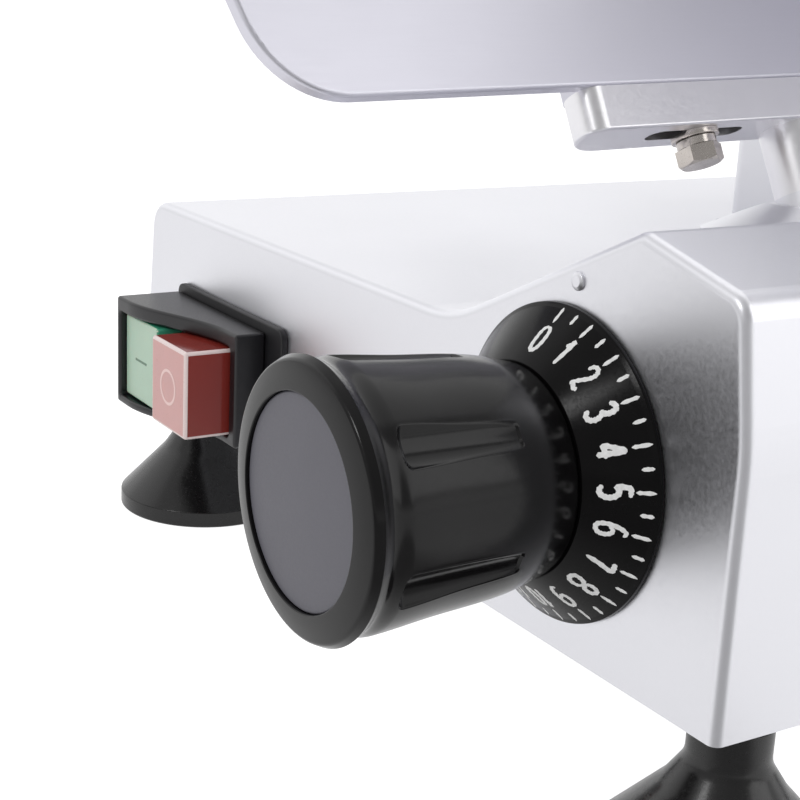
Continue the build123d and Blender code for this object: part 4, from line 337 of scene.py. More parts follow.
def new_piece(
    name: str, mesh: bpy.types.Mesh, finish: Finish, body: str, slot: str,
    stands_for: str | None = None, crease: float = 35.0,
) -> bpy.types.Object:
    """Put a mesh into the scene as a smooth shaded piece that rides on a body.

    Args:
        name: name of the piece.
        mesh: its mesh, in metres.
        finish: its surface.
        body: the CAD body it rides on.
        slot: the record's material slot; not used.
        stands_for: the CAD node that it replaces, where it replaces one.
        crease: largest angle in degrees between faces that still looks smooth.

    Returns:
        The new object.
    """
    piece = bpy.data.objects.new(name, mesh)
    bpy.context.scene.collection.objects.link(piece)
    mesh.materials.clear()
    mesh.materials.append(finish.make())
    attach(piece, body)
    if stands_for is not None:
        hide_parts(stands_for)
    mesh.polygons.foreach_set("use_smooth", [True] * len(mesh.polygons))
    mesh.set_sharp_from_angle(angle=math.radians(crease))
    log.info("piece %s: %d faces, %s", name, len(mesh.polygons), finish.name)
    return piece


def round_edges(piece: bpy.types.Object, width_mm: float, segments: int = 2, angle_deg: float = 32.0) -> None:
    """Round the edges of a piece with a bevel that keeps flat faces flat.

    Args:
        piece: the piece.
        width_mm: width of the rounding.
        segments: facets across the rounding.
        angle_deg: smallest angle between faces that counts as an edge.
    """
    bevel = piece.modifiers.new("edges", "BEVEL")
    bevel.width = width_mm * MM
    bevel.segments = segments
    bevel.limit_method = "ANGLE"
    bevel.angle_limit = math.radians(angle_deg)
    bevel.use_clamp_overlap = True
    bevel.harden_normals = False
    bevel.miter_outer = "MITER_ARC"
    weighted = piece.modifiers.new("shading", "WEIGHTED_NORMAL")
    weighted.keep_sharp = False


def mesh_from(name: str, points: Sequence[Vector], faces: Iterable[Sequence[int]]) -> bpy.types.Mesh:
    """Make a mesh from millimetre points.

    Args:
        name: name of the mesh.
        points: places in millimetres, in the row frame.
        faces: corner numbers of each face.

    Returns:
        The mesh in metres, with its normals outward.
    """
    mesh = bpy.data.meshes.new(name)
    mesh.from_pydata([tuple(p * MM) for p in points], [], [tuple(f) for f in faces])
    work = bmesh.new()
    work.from_mesh(mesh)
    bmesh.ops.recalc_face_normals(work, faces=work.faces)
    work.to_mesh(mesh)
    work.free()
    return mesh


def rounded(points: Sequence[Point2], radii: Sequence[float], steps: int = 6) -> list[Point2]:
    """Round the corners of an open run of points.

    Args:
        points: corners.
        radii: radius at each corner, zero for a sharp one.
        steps: facets per rounded corner.

    Returns:
        The run with arcs in place of the rounded corners.
    """
    result: list[Point2] = []
    for i, (corner, radius) in enumerate(zip(points, radii)):
        if radius <= 0.0 or i in (0, len(points) - 1):
            result.append(corner)
            continue
        here = Vector(corner)
        before, after = Vector(points[i - 1]) - here, Vector(points[i + 1]) - here
        a, b = before.normalized(), after.normalized()
        half = math.acos(max(-1.0, min(1.0, a.dot(b)))) / 2.0
        reach = min(radius / math.tan(half), before.length * 0.49, after.length * 0.49)
        true_radius = reach * math.tan(half)
        centre = here + (a + b).normalized() * (true_radius / math.sin(half))
        start, end = here + a * reach - centre, here + b * reach - centre
        sweep = math.atan2(start.x * end.y - start.y * end.x, start.dot(end))
        for k in range(steps + 1):
            cos, sin = math.cos(sweep * k / steps), math.sin(sweep * k / steps)
            x, y = start.x * cos - start.y * sin, start.x * sin + start.y * cos
            result.append((centre.x + x, centre.y + y))
    return result


def smooth_run(points: Sequence[Point2], steps: int) -> list[Point2]:
    """Run a smooth curve through points.

    Args:
        points: places the curve goes through.
        steps: facets between neighbouring points.

    Returns:
        Points of the curve.
    """

    def between(a: float, b: float, c: float, d: float, t: float) -> float:
        """Value of the curve at a share of the way from b to c."""
        return 0.5 * (2 * b + (c - a) * t + (2 * a - 5 * b + 4 * c - d) * t * t + (3 * b - a - 3 * c + d) * t**3)

    padded = [points[0], *points, points[-1]]
    result: list[Point2] = []
    for knots in zip(padded, padded[1:], padded[2:], padded[3:]):
        for k in range(steps):
            result.append(tuple(between(*values, k / steps) for values in zip(*knots)))
    result.append(points[-1])
    return result


@dataclass
class Lathe:
    """A turned shape: radius and height pairs about an axis."""

    origin: Vector
    axis: Vector
    outline: Sequence[Point2]
    segments: int = 96
    shape: Callable[[float, float, float], float] | None = None
    turns: Sequence[float] = ()

    def mesh(self, name: str) -> bpy.types.Mesh:
        """Turn the outline into a mesh, closed where the outline meets the axis."""
        axis = self.axis.normalized()
        start = Vector((1.0, 0.0, 0.0))
        side = (start - axis * start.dot(axis)).normalized()
        other = axis.cross(side)
        turns = self.turns or [2.0 * math.pi * k / self.segments for k in range(self.segments)]
        points: list[Vector] = []
        rings: list[list[int]] = []
        for radius, height in self.outline:
            if radius < 1e-6:
                points.append(self.origin + axis * height)
                rings.append([len(points) - 1] * len(turns))
                continue
            ring = []
            for turn in turns:
                r = radius if self.shape is None else self.shape(radius, height, turn)
                across = side * (r * math.cos(turn)) + other * (r * math.sin(turn))
                points.append(self.origin + axis * height + across)
                ring.append(len(points) - 1)
            rings.append(ring)
        faces: Faces = []
        for low, high in zip(rings, rings[1:]):
            for k in range(len(turns)):
                n = (k + 1) % len(turns)
                kept = tuple(dict.fromkeys((low[k], low[n], high[n], high[k])))
                if len(kept) > 2:
                    faces.append(kept)
        return mesh_from(name, points, faces)

    def piece(self, name: str, finish: Finish, body: str, slot: str, *more: Any) -> bpy.types.Object:
        """Turn the outline into a piece of the scene: the arguments are those of new_piece."""
        return new_piece(name, self.mesh(name), finish, body, slot, *more)


@dataclass
class Dial:
    """Conical dial with hand filled engraving, and its index pin."""

    flange_radius: float = 33.7
    flange_depth: float = 1.2
    ridge: Point2 = (32.75, 1.86)
    nose: Point2 = (22.65, 11.58)
    bore: float = 5.2
    units: int = 15
    unit_turn: float = math.radians(250.0 / 15.0)
    long_tick: float = 3.95
    short_tick: float = 2.7
    long_start: float = -0.38
    short_start: float = -0.2
    tick_width: float = 0.8
    numeral_start: float = 4.6
    numeral_height: float = 6.1
    numeral_width: float = 2.5
    digit_gap: float = 0.7
    stroke: float = 0.88
    lift: float = 0.05
    pin_spot: Vector = field(default_factory=lambda: Vector((78.9, -155.0, 113.6)))
    seed: int = 11

    # Brush strokes of each digit, as places across and up in hundredths of its width and height
    digits: tuple[str, ...] = (
        "50,100 12,86 2,50 12,14 50,0 88,14 98,50 88,86 50,100",
        "22,72 48,86 60,100 60,50 58,0",
        "5,74 18,95 50,102 85,90 86,66 50,36 10,8/8,4 35,10 65,2 98,10",
        "6,84 35,100 75,96 88,76 72,57 38,52/42,53 80,46 96,25 75,4 35,0 3,14",
        "62,100 30,62 2,28 50,28 100,30/68,100 68,50 66,0",
        "92,98 50,100 16,98 12,58 50,64 90,50 96,24 70,2 30,0 4,12",
        "84,92 50,100 16,80 3,40 16,8 50,0 88,10 96,32 80,52 45,55 12,40",
        "3,97 50,99 95,96 62,50 40,0",
        "50,54 14,66 12,90 50,102 88,90 86,66 50,54 8,38 5,10 50,-2 95,10 92,38 50,54",
        "14,6 50,0 84,20 97,60 84,92 50,100 12,90 4,68 20,47 55,45 88,60",
    )

    def slope_spot(self, down: float, aside: float, turn: float, lift: float) -> Vector:
        """Place on the cone that carries the numerals.

        Args:
            down: distance down the slope from its outer ridge, towards the knob.
            aside: distance clockwise along the slope.
            turn: angle of the mark's middle, clockwise from the top.
            lift: height above the surface.

        Returns:
            The place in the row frame.
        """
        ridge, nose = Vector(self.ridge), Vector(self.nose)
        way = (nose - ridge).normalized()
        if down < 0.0:
            way = (ridge - Vector((self.flange_radius, self.flange_depth))).normalized()
        spot = ridge + way * down
        angle = turn + aside / spot.x
        spot += Vector((way.y, -way.x)) * lift
        return DIAL_CENTRE + FORWARD * spot.y + Vector((math.sin(angle), 0.0, math.cos(angle))) * spot.x

    def dab(
        self, run: Sequence[Point2], width: float, turn: float, rng: random.Random
    ) -> tuple[list[Vector], Faces]:
        """One brush stroke of enamel, uneven in width and a little domed.

        Args:
            run: middle line of the stroke as distance aside and down.
            width: width of the brush.
            turn: angle of the mark's middle.
            rng: source of the hand's unevenness.

        Returns:
            Points and faces of the stroke.
        """
        line = smooth_run(run, 5) if len(run) > 2 else [
            tuple(a + (b - a) * k / 6.0 for a, b in zip(run[0], run[1])) for k in range(7)
        ]
        dome = ((-1.0, 0.0), (-0.55, self.lift), (0.0, 1.3 * self.lift), (0.55, self.lift), (1.0, 0.0))
        points: list[Vector] = []
        last = len(line) - 1
        swell = rng.uniform(0.0, 6.0)
        for i, here in enumerate(line):
            way = (Vector(line[min(last, i + 1)]) - Vector(line[max(0, i - 1)])).normalized()
            side = Vector((-way.y, way.x))
            taper = math.sqrt(max(0.0, 1.0 - (abs(2.0 * i / last - 1.0)) ** 6)) * 0.85 + 0.15
            half = 0.5 * width * taper * (1.0 + 0.22 * math.sin(swell + 2.1 * i) * rng.uniform(0.4, 1.0))
            for share, height in dome:
                spot = Vector(here) + side * (half * share)
                points.append(self.slope_spot(spot.y, spot.x, turn, 0.012 + height))
        starts = [5 * i + j for i in range(last) for j in range(4)]
        return points, [(a, a + 1, a + 6, a + 5) for a in starts]

    def marks(self) -> bpy.types.Mesh:
        """Ticks and numerals, brushed into the engraving by hand.

        Returns:
            One mesh of all the enamel.
        """
        rng = random.Random(self.seed)
        points: list[Vector] = []
        faces: Faces = []

        def lay(run: Sequence[Point2], width: float, turn: float) -> None:
            """Add one stroke to the mesh."""
            more, corners = self.dab(run, width, turn, rng)
            start = len(points)
            points.extend(more)
            faces.extend(tuple(c + start for c in f) for f in corners)

        for step in range(2 * self.units + 1):
            turn = self.unit_turn * step / 2.0
            length = self.short_tick if step % 2 else self.long_tick
            start = self.short_start if step % 2 else self.long_start
            lean = rng.uniform(-0.12, 0.12)
            lay(((lean, start), (0.0, start + length * rng.uniform(0.94, 1.05))), self.tick_width, turn)
            if step % 2:
                continue
            label = str(step // 2)
            width = self.numeral_width * (1.0 if len(label) == 1 else 0.74)
            for place, digit in enumerate(label):
                centre = (place - (len(label) - 1) / 2.0) * (width + self.digit_gap)
                for stroke in self.digits[int(digit)].split("/"):
                    laid = []
                    for spot in stroke.split():
                        x, y = (int(share) / 100.0 for share in spot.split(","))
                        aside = centre + (x - 0.5) * width + rng.uniform(-0.06, 0.06)
                        down = self.numeral_start + (1.0 - y) * self.numeral_height + rng.uniform(-0.06, 0.06)
                        laid.append((aside, down))
                    lay(laid, self.stroke * rng.uniform(1.05, 1.35), turn)
        return mesh_from("dial_marks", points, faces)

    def build(self) -> None:
        """Build the dial, its marks and the index pin."""
        rim = [(self.bore, 0.3), (self.flange_radius, 0.3), (self.flange_radius, self.flange_depth)]
        corners = [*rim, self.ridge, self.nose, (self.bore, self.nose[1])]
        outline = rounded(corners, [0, 0.15, 0.3, 0.25, 0.35, 0], 4)
        lathe = Lathe(DIAL_CENTRE, FORWARD, outline, 192)
        lathe.piece("dial", DIAL_BLACK, "thickness_dial", "dial_plastic", "dial_ring", 30.0)
        new_piece("dial_marks", self.marks(), NUMERAL_ENAMEL, "thickness_dial", "dial_plastic", None, 60.0)
        head = [(0.0, 0.75), (1.2, 0.78), (1.95, 0.45), (1.95, -0.5), (1.5, -0.5), (1.5, -3.9), (0.0, -3.9)]
        pin = Lathe(self.pin_spot, FORWARD, rounded(head, [0, 0.3, 0.3, 0, 0, 0.2, 0], 5), 48)
        pin.piece("index_pin_head", CAST_ALUMINIUM, "base", "steel_fasteners", "index_pin", 40.0)


@dataclass
class Knob:
    """Thickness knob with six finger recesses and the disc in its end."""

    stations: tuple[Point2, ...] = (
        (12.0, 22.3), (22.0, 24.6), (39.0, 26.0), (52.0, 27.2), (56.0, 26.9), (59.0, 28.2),
    )
    front: float = 62.0
    lip: Point2 = (27.3, 60.8)
    pocket_radius: float = 21.37
    pocket_floor: float = 59.2
    disc_radius: float = 21.34
    disc_top: float = 61.2
    recess_count: int = 6
    recess_rear: float = 25.4
    recess_shoulder: float = 51.0
    recess_corner: float = 2.0
    recess_share: float = 0.61
    cutter_centre: Point2 = (30.35, 30.95)
    cutter_radius: float = 6.0
    edge: float = 0.45
    edge_zone: Point2 = (math.radians(4.0), math.radians(12.0))

    def body_radius(self, forward: float) -> float:
        """Radius of the turned body, on a smooth curve through the stations.

        Args:
            forward: distance in front of the base.

        Returns:
            The radius.
        """
        runs = self.stations
        i = max(k for k in range(len(runs) - 1) if runs[k][0] <= forward + 1e-9)
        (f0, r0), (f1, r1) = runs[i], runs[i + 1]
        before, after = runs[max(0, i - 1)], runs[min(len(runs) - 1, i + 2)]
        slope0 = (r1 - before[1]) / (f1 - before[0])
        slope1 = (after[1] - r0) / (after[0] - f0)
        span = f1 - f0
        t = (forward - f0) / span
        return (
            (2 * t**3 - 3 * t**2 + 1) * r0 + (t**3 - 2 * t**2 + t) * span * slope0
            + (3 * t**2 - 2 * t**3) * r1 + (t**3 - t**2) * span * slope1
        )

    def sunk(self, radius: float, forward: float, turn: float) -> float:
        """Radius after the finger recesses are cut by a round nosed tool.

        Args:
            radius: radius without recesses.
            forward: distance in front of the base.
            turn: angle about the axis.

        Returns:
            The radius, with the recess floor where there is one.
        """
        past = forward - self.recess_shoulder
        if radius < self.disc_radius or forward < self.recess_rear or past > self.recess_corner:
            return radius
        share = (forward - self.recess_rear) / (self.recess_shoulder - self.recess_rear)
        centre = self.cutter_centre[0] + (self.cutter_centre[1] - self.cutter_centre[0]) * share
        reach = self.cutter_radius
        if past > 0.0:
            reach -= self.recess_corner - math.sqrt(self.recess_corner**2 - past**2)
        pitch = 2.0 * math.pi / self.recess_count
        angle = (turn - (self.recess_share - 0.5) * pitch) % pitch - pitch / 2.0
        inside = reach**2 - (centre * math.sin(angle)) ** 2
        if inside <= 0.0:
            return radius
        cut = centre * math.cos(angle) - math.sqrt(inside)
        blend = max(0.0, min(1.0, 0.5 + 0.5 * (radius - cut) / self.edge))
        return radius + (cut - radius) * blend - self.edge * blend * (1.0 - blend) * 0.5

    def sector_turns(self) -> list[float]:
        """Angles of the mesh's columns: close together where a recess has its edge."""
        pitch = 2.0 * math.pi / self.recess_count
        near, far = self.edge_zone
        stops = (-pitch / 2.0, -far, -near, near, far, pitch / 2.0)
        spans = zip(stops, stops[1:], (12, 30, 10, 30, 12))
        sector = [low + (high - low) * k / count for low, high, count in spans for k in range(count)]
        starts = [self.recess_share * pitch + number * pitch for number in range(self.recess_count)]
        return [start + a for start in starts for a in sector]

    def build(self) -> None:
        """Build the knob and its disc."""
        spans = ((12.3, 25.2, 0.6), (25.3, 50.6, 0.45), (50.7, 53.3, 0.1), (53.5, 59.0, 0.25))
        body: list[Point2] = []
        for low, high, step in spans:
            places = [low + step * k for k in range(int((high - low) / step + 1.001))]
            body.extend((self.body_radius(f), f) for f in places)
        mouth = (self.pocket_radius, self.front)
        rim = rounded([body[-1], self.lip, mouth], [0.0, 1.2, 0.0], 8)[1:-1]
        floor = [(self.pocket_radius, self.pocket_floor), (0.0, self.pocket_floor)]
        pocket = rounded([rim[-1], mouth, *floor], [0.0, 0.25, 0.2, 0.0], 4)[1:]
        tail = rounded([(5.2, 12.0), (22.2, 12.0), body[0]], [0.0, 0.3, 0.0], 3)[:-1]
        outline = [(0.0, 12.6), (5.2, 12.6), *tail, *body, *rim, *pocket]
        lathe = Lathe(DIAL_CENTRE, FORWARD, outline, turns=self.sector_turns(), shape=self.sunk)
        lathe.piece("knob_body", KNOB_PHENOLIC, "thickness_dial", "knob_plastic", "thickness_knob", 40.0)
        radius, top, under = self.disc_radius, self.disc_top, self.pocket_floor + 0.1
        face = [(0.0, top), (radius, top), (radius, under), (0.0, under)]
        disc = Lathe(DIAL_CENTRE, FORWARD, rounded(face, [0.0, 0.5, 0.2, 0.0], 5), 160)
        disc.piece("knob_disc", CAP_GREY, "thickness_dial", "cap_plastic", "knob_cap", 30.0)


def block(name: str, low: Vector, high: Vector) -> bpy.types.Mesh:
    """Box between its lowest and its highest corner."""
    corners = [Vector((x, y, z)) for x in (low.x, high.x) for y in (low.y, high.y) for z in (low.z, high.z)]
    sides = [(0, 1, 3, 2), (4, 6, 7, 5), (0, 4, 5, 1), (2, 3, 7, 6), (0, 2, 6, 4), (1, 5, 7, 3)]
    return mesh_from(name, corners, sides)


@dataclass
class PushSwitch:
    """Two button switch in its stepped frame; the seal behind it is built with the kept CAD nodes."""

    left: float = -110.6
    width: float = 57.5
    low: float = 40.4
    height: float = 32.3
    deep: float = 22.1
    shallow: float = 11.1
    step_start: float = 8.0
    step_end: float = 50.0
    left_rim: float = 2.0
    right_rim: float = 4.0
    low_rim: float = 2.4
    top_rim: float = 4.4
    seat: float = 2.0
    divider_left: float = -84.8
    divider_width: float = 2.6
    divider_back: float = 5.3
    divider_reach: float = 13.0
    button_back: float = 8.3
    curve_pitch: float = 1.5
    ring_radius: float = 5.15
    ring_width: float = 0.85
    bar_reach: float = 4.0
    bar_half: float = 0.35
    ink_proud: float = 0.06
    ink_sunk: float = 0.05

    def depth_at(self, x: float) -> float:
        """How far the frame stands out at a place across it."""
        t = (x - self.left - self.step_start) / (self.step_end - self.step_start)
        t = max(0.0, min(1.0, t))
        return self.deep + (self.shallow - self.deep) * t * t * (3.0 - 2.0 * t)

    def frame_mesh(self) -> bpy.types.Mesh:
        """Frame round the two buttons, as a closed mesh with the window cut through it."""
        right = self.left + self.width
        w_left, w_right = self.left + self.left_rim, right - self.right_rim
        curve_steps = round((self.step_end - self.step_start) / self.curve_pitch)
        curve = [self.left + self.step_start + self.curve_pitch * k for k in range(curve_steps + 1)]
        xs = sorted({self.left, w_left, w_right, right, *curve})
        top = self.low + self.height
        zs = [self.low, self.low + self.low_rim, top - self.top_rim, top]
        points = [Vector((x, FRONT_Y - f, z)) for x in xs for z in zs for f in (self.seat, self.depth_at(x))]
        faces: Faces = []

        def quad(*corners: tuple[int, int, int]) -> None:
            """Add a face by the column, row and side of its corners."""
            faces.append(tuple(8 * i + 2 * j + side for i, j, side in corners))

        lo, hi = xs.index(w_left), xs.index(w_right)
        for i in range(len(xs) - 1):
            window = lo <= i < hi
            for j in (0, 2) if window else (0, 1, 2):
                for side in (0, 1):
                    quad((i, j, side), (i + 1, j, side), (i + 1, j + 1, side), (i, j + 1, side))
            for j in (0, 3, 1, 2) if window else (0, 3):
                quad((i, j, 0), (i + 1, j, 0), (i + 1, j, 1), (i, j, 1))
        for i, rows in ((0, (0, 1, 2)), (len(xs) - 1, (0, 1, 2)), (lo, (1,)), (hi, (1,))):
            for j in rows:
                quad((i, j, 0), (i, j + 1, 0), (i, j + 1, 1), (i, j, 1))
        return mesh_from("switch_frame", points, faces)

    def build(self) -> None:
        """Build the frame and the two buttons with their marks."""
        way = ("base", "black_plastic")
        bezel = new_piece("switch_frame", self.frame_mesh(), BEZEL_ABS, *way, "switch_bezel", 40.0)
        round_edges(bezel, 0.9, 3, 25.0)
        low, high = self.low + self.low_rim, self.low + self.height - self.top_rim
        inner = Vector((self.divider_left, FRONT_Y - self.divider_reach, low))
        outer = Vector((self.divider_left + self.divider_width, FRONT_Y - self.divider_back, high))
        divider_mesh = block("switch_divider", inner, outer)
        divider = new_piece("switch_divider", divider_mesh, BEZEL_ABS, *way)
        round_edges(divider, 0.5, 2)
        self.button("start_button", BUTTON_GREEN_FACE_PAINTED_LIGHT, BUTTON_GREEN_SIDE_PAINTED_SHADE, "start_key", "green_plastic")
        stop = self.button("stop_button", BUTTON_RED_FACE_PAINTED_LIGHT, BUTTON_RED_SIDE_PAINTED_SHADE, "stop_key", "red_plastic")
        # The stop button's rounded edges take the third material, the painted highlight
        stop.modifiers["edges"].material = 2
        far, near = self.ring_radius, self.ring_radius - self.ring_width
        sunk, proud = -self.ink_sunk, self.ink_proud
        ring = [(far, sunk), (far, proud), (near, proud), (near, sunk), (far, sunk)]
        lathe = Lathe(self.face_middle("stop_button"), FORWARD, ring, 64)
        lathe.piece("stop_ring", RING_INK, "stop_key", "red_plastic")
        middle = self.face_middle("start_button")
        reach, half = self.bar_reach, self.bar_half
        inner, outer = Vector((-reach, -proud, -half)), Vector((reach, -sunk, half))
        bar = block("start_bar", middle + inner, middle + outer)
        new_piece("start_bar", bar, BAR_INK, "start_key", "green_plastic")

    def face_middle(self, node: str) -> Vector:
        """Middle of a button's front face."""
        low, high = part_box(node)
        return Vector(((low.x + high.x) / 2.0, low.y, (low.z + high.z) / 2.0)) / MM

    def button(self, node: str, face: Finish, side: Finish, body: str, slot: str) -> bpy.types.Object:
        """Build one button.

        Args:
            node: the CAD node it replaces.
            face: surface of its front, made pale as painted light.
            side: surface of its sides, darker as painted shade.
            body: the CAD body it rides on.
            slot: the record's material slot.

        Returns:
            The button, with the painted edge highlight as its third material.
        """
        low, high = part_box(node)
        back = Vector((high.x / MM, FRONT_Y - self.button_back, high.z / MM))
        mesh = block(f"{node}_cap", low / MM, back)
        cap = new_piece(f"{node}_cap", mesh, face, body, slot, node)
        mesh.materials.append(side.make())
        mesh.materials.append(BUTTON_EDGE_PAINTED_HIGHLIGHT.make())
        # Lit and shaded copies of one plastic: front faces take the pale colour painted as light, all other
        # faces the darker colour painted as shade
        for polygon in mesh.polygons:
            polygon.material_index = 0 if polygon.normal.y < -0.5 else 1
        round_edges(cap, 0.9, 3)
        return cap


@dataclass
class Feet:
    """Four conical rubber feet."""

    span: Point2 = (122.0, 142.5)

    def build(self) -> None:
        """Build the four feet."""
        corners = [
            (7.5, 0.0, 0.0), (26.0, 0.0, 0.5), (26.5, 0.5, 0.4), (26.5, 4.8, 0.7), (13.0, 19.0, 14.0),
            (8.6, 25.5, 6.0), (8.6, 33.8, 0.2), (3.3, 33.8, 0.0), (3.3, 12.0, 0.2), (7.5, 12.0, 0.3),
            (7.5, 0.0, 0.0),
        ]
        outline = rounded([(r, z) for r, z, _ in corners], [bend for _, _, bend in corners], 5)
        for number, (sx, sy) in enumerate(((-1, -1), (1, -1), (-1, 1), (1, 1))):
            lathe = Lathe(Vector((sx * self.span[0], sy * self.span[1], 0.0)), VERTICAL, outline, 128)
            node = None if number else "rubber_feet"
            lathe.piece(f"foot_{number + 1}", FOOT_RUBBER, "base", "foot_rubber", node, 40.0)


@dataclass
class GaugeBolt:
    """Hexagon bolt with its chamfered head under the gauge arm, and its two washers."""

    across_flats: float = 11.1
    head: float = 4.9
    station: float = 101.7
    depth: float = -8.3
    bar_height: float = 11.8
    shank_radius: float = 3.2
    grip: float = 7.9
    washer_radius: float = 6.6
    washer_thickness: float = 1.8
    spring_radius: float = 5.5
    spring_thickness: float = 2.4
    spring_rise: float = 0.35
    chamfer: float = 0.25
    chamfer_slope: float = math.tan(math.radians(30.0))
    crown_share: float = 0.965
    split_start: float = math.radians(-60.0)
    split_turn: float = math.radians(352.0)

    def spot(self, seat: Vector, radius: float, drop: float, turn: float) -> Vector:
        """Place about the bolt's axis, a distance below its seat."""
        across = GAUGE_ALONG * (radius * math.cos(turn)) + OUTWARD * (radius * math.sin(turn))
        return seat - GAUGE_UP * drop + across

    def build(self) -> None:
        """Build the bolt and its washers."""
        seat = PLATE_FOOT + ALONG * FRONT_Y + GAUGE_ALONG * self.station + OUTWARD * self.depth
        way = ("gauge", "steel_fasteners")
        low, high = self.bar_height, self.bar_height + self.washer_thickness
        start = high + self.spring_thickness
        head = self.head_mesh(seat - GAUGE_UP * start)
        new_piece("gauge_bolt_head", head, FASTENER_STEEL, *way, "gauge_plate_bolt", 25.0)
        shank = [(0.0, start), (self.shank_radius, start), (self.shank_radius, -self.grip), (0.0, -self.grip)]
        Lathe(seat, -GAUGE_UP, shank, 48).piece("gauge_bolt_shank", FASTENER_STEEL, *way)
        bore, rim, top = self.shank_radius + 0.1, self.washer_radius, high - 0.1
        corners = [(bore, low), (rim, low), (rim, top), (bore, top), (bore, low)]
        flat = rounded(corners, [0.0, 0.2, 0.2, 0.0, 0.0], 3)
        Lathe(seat, -GAUGE_UP, flat, 64).piece("flat_washer", FASTENER_STEEL, *way)
        coil = self.coil(seat - GAUGE_UP * (high - 0.05))
        new_piece("spring_washer", coil, FASTENER_STEEL, *way, "gauge_plate_washers")

    def head_mesh(self, seat: Vector) -> bpy.types.Mesh:
        """Hexagon head with the curved lines that its chamfer leaves on the flats.

        Args:
            seat: middle of the face that bears on the washer.

        Returns:
            The head's mesh.
        """
        flat = self.across_flats / 2.0
        count = 72
        points: list[Vector] = []
        for level in range(3):
            for k in range(count):
                turn = 2.0 * math.pi * k / count
                local = (turn + math.pi / 6.0) % (math.pi / 3.0) - math.pi / 6.0
                edge = flat / math.cos(local)
                fall = (edge - flat) * self.chamfer_slope
                height = (0.0, self.head - self.chamfer - fall, self.head)[level]
                radius = (edge, edge, flat * self.crown_share)[level]
                points.append(self.spot(seat, radius, height, turn))
        faces: Faces = [tuple(range(count - 1, -1, -1)), tuple(range(2 * count, 3 * count))]
        for k in range(2 * count):
            n = k + 1 if (k + 1) % count else k + 1 - count
            faces.append((k, n, n + count, k + count))
        return mesh_from("gauge_bolt_head", points, faces)

    def coil(self, seat: Vector) -> bpy.types.Mesh:
        """Split spring washer: one turn of square wire with its ends a little apart.

        Args:
            seat: middle of the end that bears on the flat washer.

        Returns:
            The washer's mesh.
        """
        steps = 60
        near, far = self.shank_radius + 0.1, self.spring_radius
        wire = self.spring_thickness - self.spring_rise
        points: list[Vector] = []
        for k in range(steps + 1):
            turn = self.split_start + self.split_turn * k / steps
            rise = self.spring_rise * k / steps
            for radius, height in ((near, rise), (far, rise), (far, rise + wire), (near, rise + wire)):
                points.append(self.spot(seat, radius, height, turn))
        faces: Faces = [(3, 2, 1, 0), tuple(4 * steps + j for j in range(4))]
        for k in range(steps):
            for j in range(4):
                a, b = 4 * k + j, 4 * k + (j + 1) % 4
                faces.append((a, b, b + 4, a + 4))
        return mesh_from("spring_washer", points, faces)


@dataclass
class StarKnob:
    """Star shaped hand knob of black resin."""

    name: str
    node: str
    body: str
    origin: Vector
    axis: Vector
    radius: float
    length: float
    lobes: int
    cut: float
    bore: float = 0.0
    stud: float = 0.0
    stud_radius: float = 5.0

    def waved(self, radius: float, height: float, turn: float) -> float:
        """Radius with its lobes."""
        if radius < 0.5 * self.radius:
            return radius
        wave = 0.5 - 0.5 * math.cos(self.lobes * turn)
        return radius - self.cut * wave**1.6

    def build(self) -> None:
        """Build the knob, and its stud where it has one."""
        r, top = self.radius, self.length
        skirt = [(self.bore, 0.0), (r * 0.7, 0.0), (r * 0.74, 3.0), (r, 6.0), (r, top - 2.5)]
        crown = [(r * 0.9, top), (r * 0.45, top), (r * 0.4, top - 0.8), (0.0, top - 0.8)]
        outline = rounded([*skirt, *crown], [0, 0.8, 1.5, 1.5, 2.0, 2.0, 0.4, 0.3, 0], 5)
        lathe = Lathe(self.origin, self.axis, outline, 160, self.waved)
        lathe.piece(self.name, KNOB_PHENOLIC, self.body, "knob_plastic", self.node, 40.0)
        if self.stud > 0.0:
            rod = [(0.0, 0.0), (self.stud_radius, 0.0), (self.stud_radius, -self.stud), (0.0, -self.stud)]
            stud = Lathe(self.origin, self.axis, rod, 64)
            stud.piece(f"{self.name}_stud", GROUND_BAR, self.body, "steel_bar")


@dataclass
class Handle:
    """Turned hand grip of the carriage."""

    outward: float = 213.0
    foot: float = 12.0
    height: float = 104.0

    def build(self) -> None:
        """Build the grip."""
        low_corner, high_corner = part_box("carriage_handle")
        along = (low_corner.y + high_corner.y) / 2.0 / MM
        origin = PLATE_FOOT + OUTWARD * self.outward + ALONG * along
        low, top = self.foot, self.foot + self.height
        swells = (
            (12.0, 0.8), (12.0, 4.0), (10.7, 12.0), (12.3, 26.0), (13.9, 42.0), (13.0, 60.0),
            (10.7, 77.0), (12.4, 86.0), (14.4, 92.0), (13.0, 100.0),
        )
        run = [*((radius, low + up) for radius, up in swells), (8.0, top - 0.6), (0.0, top)]
        lathe = Lathe(origin, UPWARD, [(0.0, low), (11.2, low), *smooth_run(run, 6)], 96)
        lathe.piece("carriage_grip", KNOB_PHENOLIC, "carriage", "knob_plastic", "carriage_handle", 50.0)


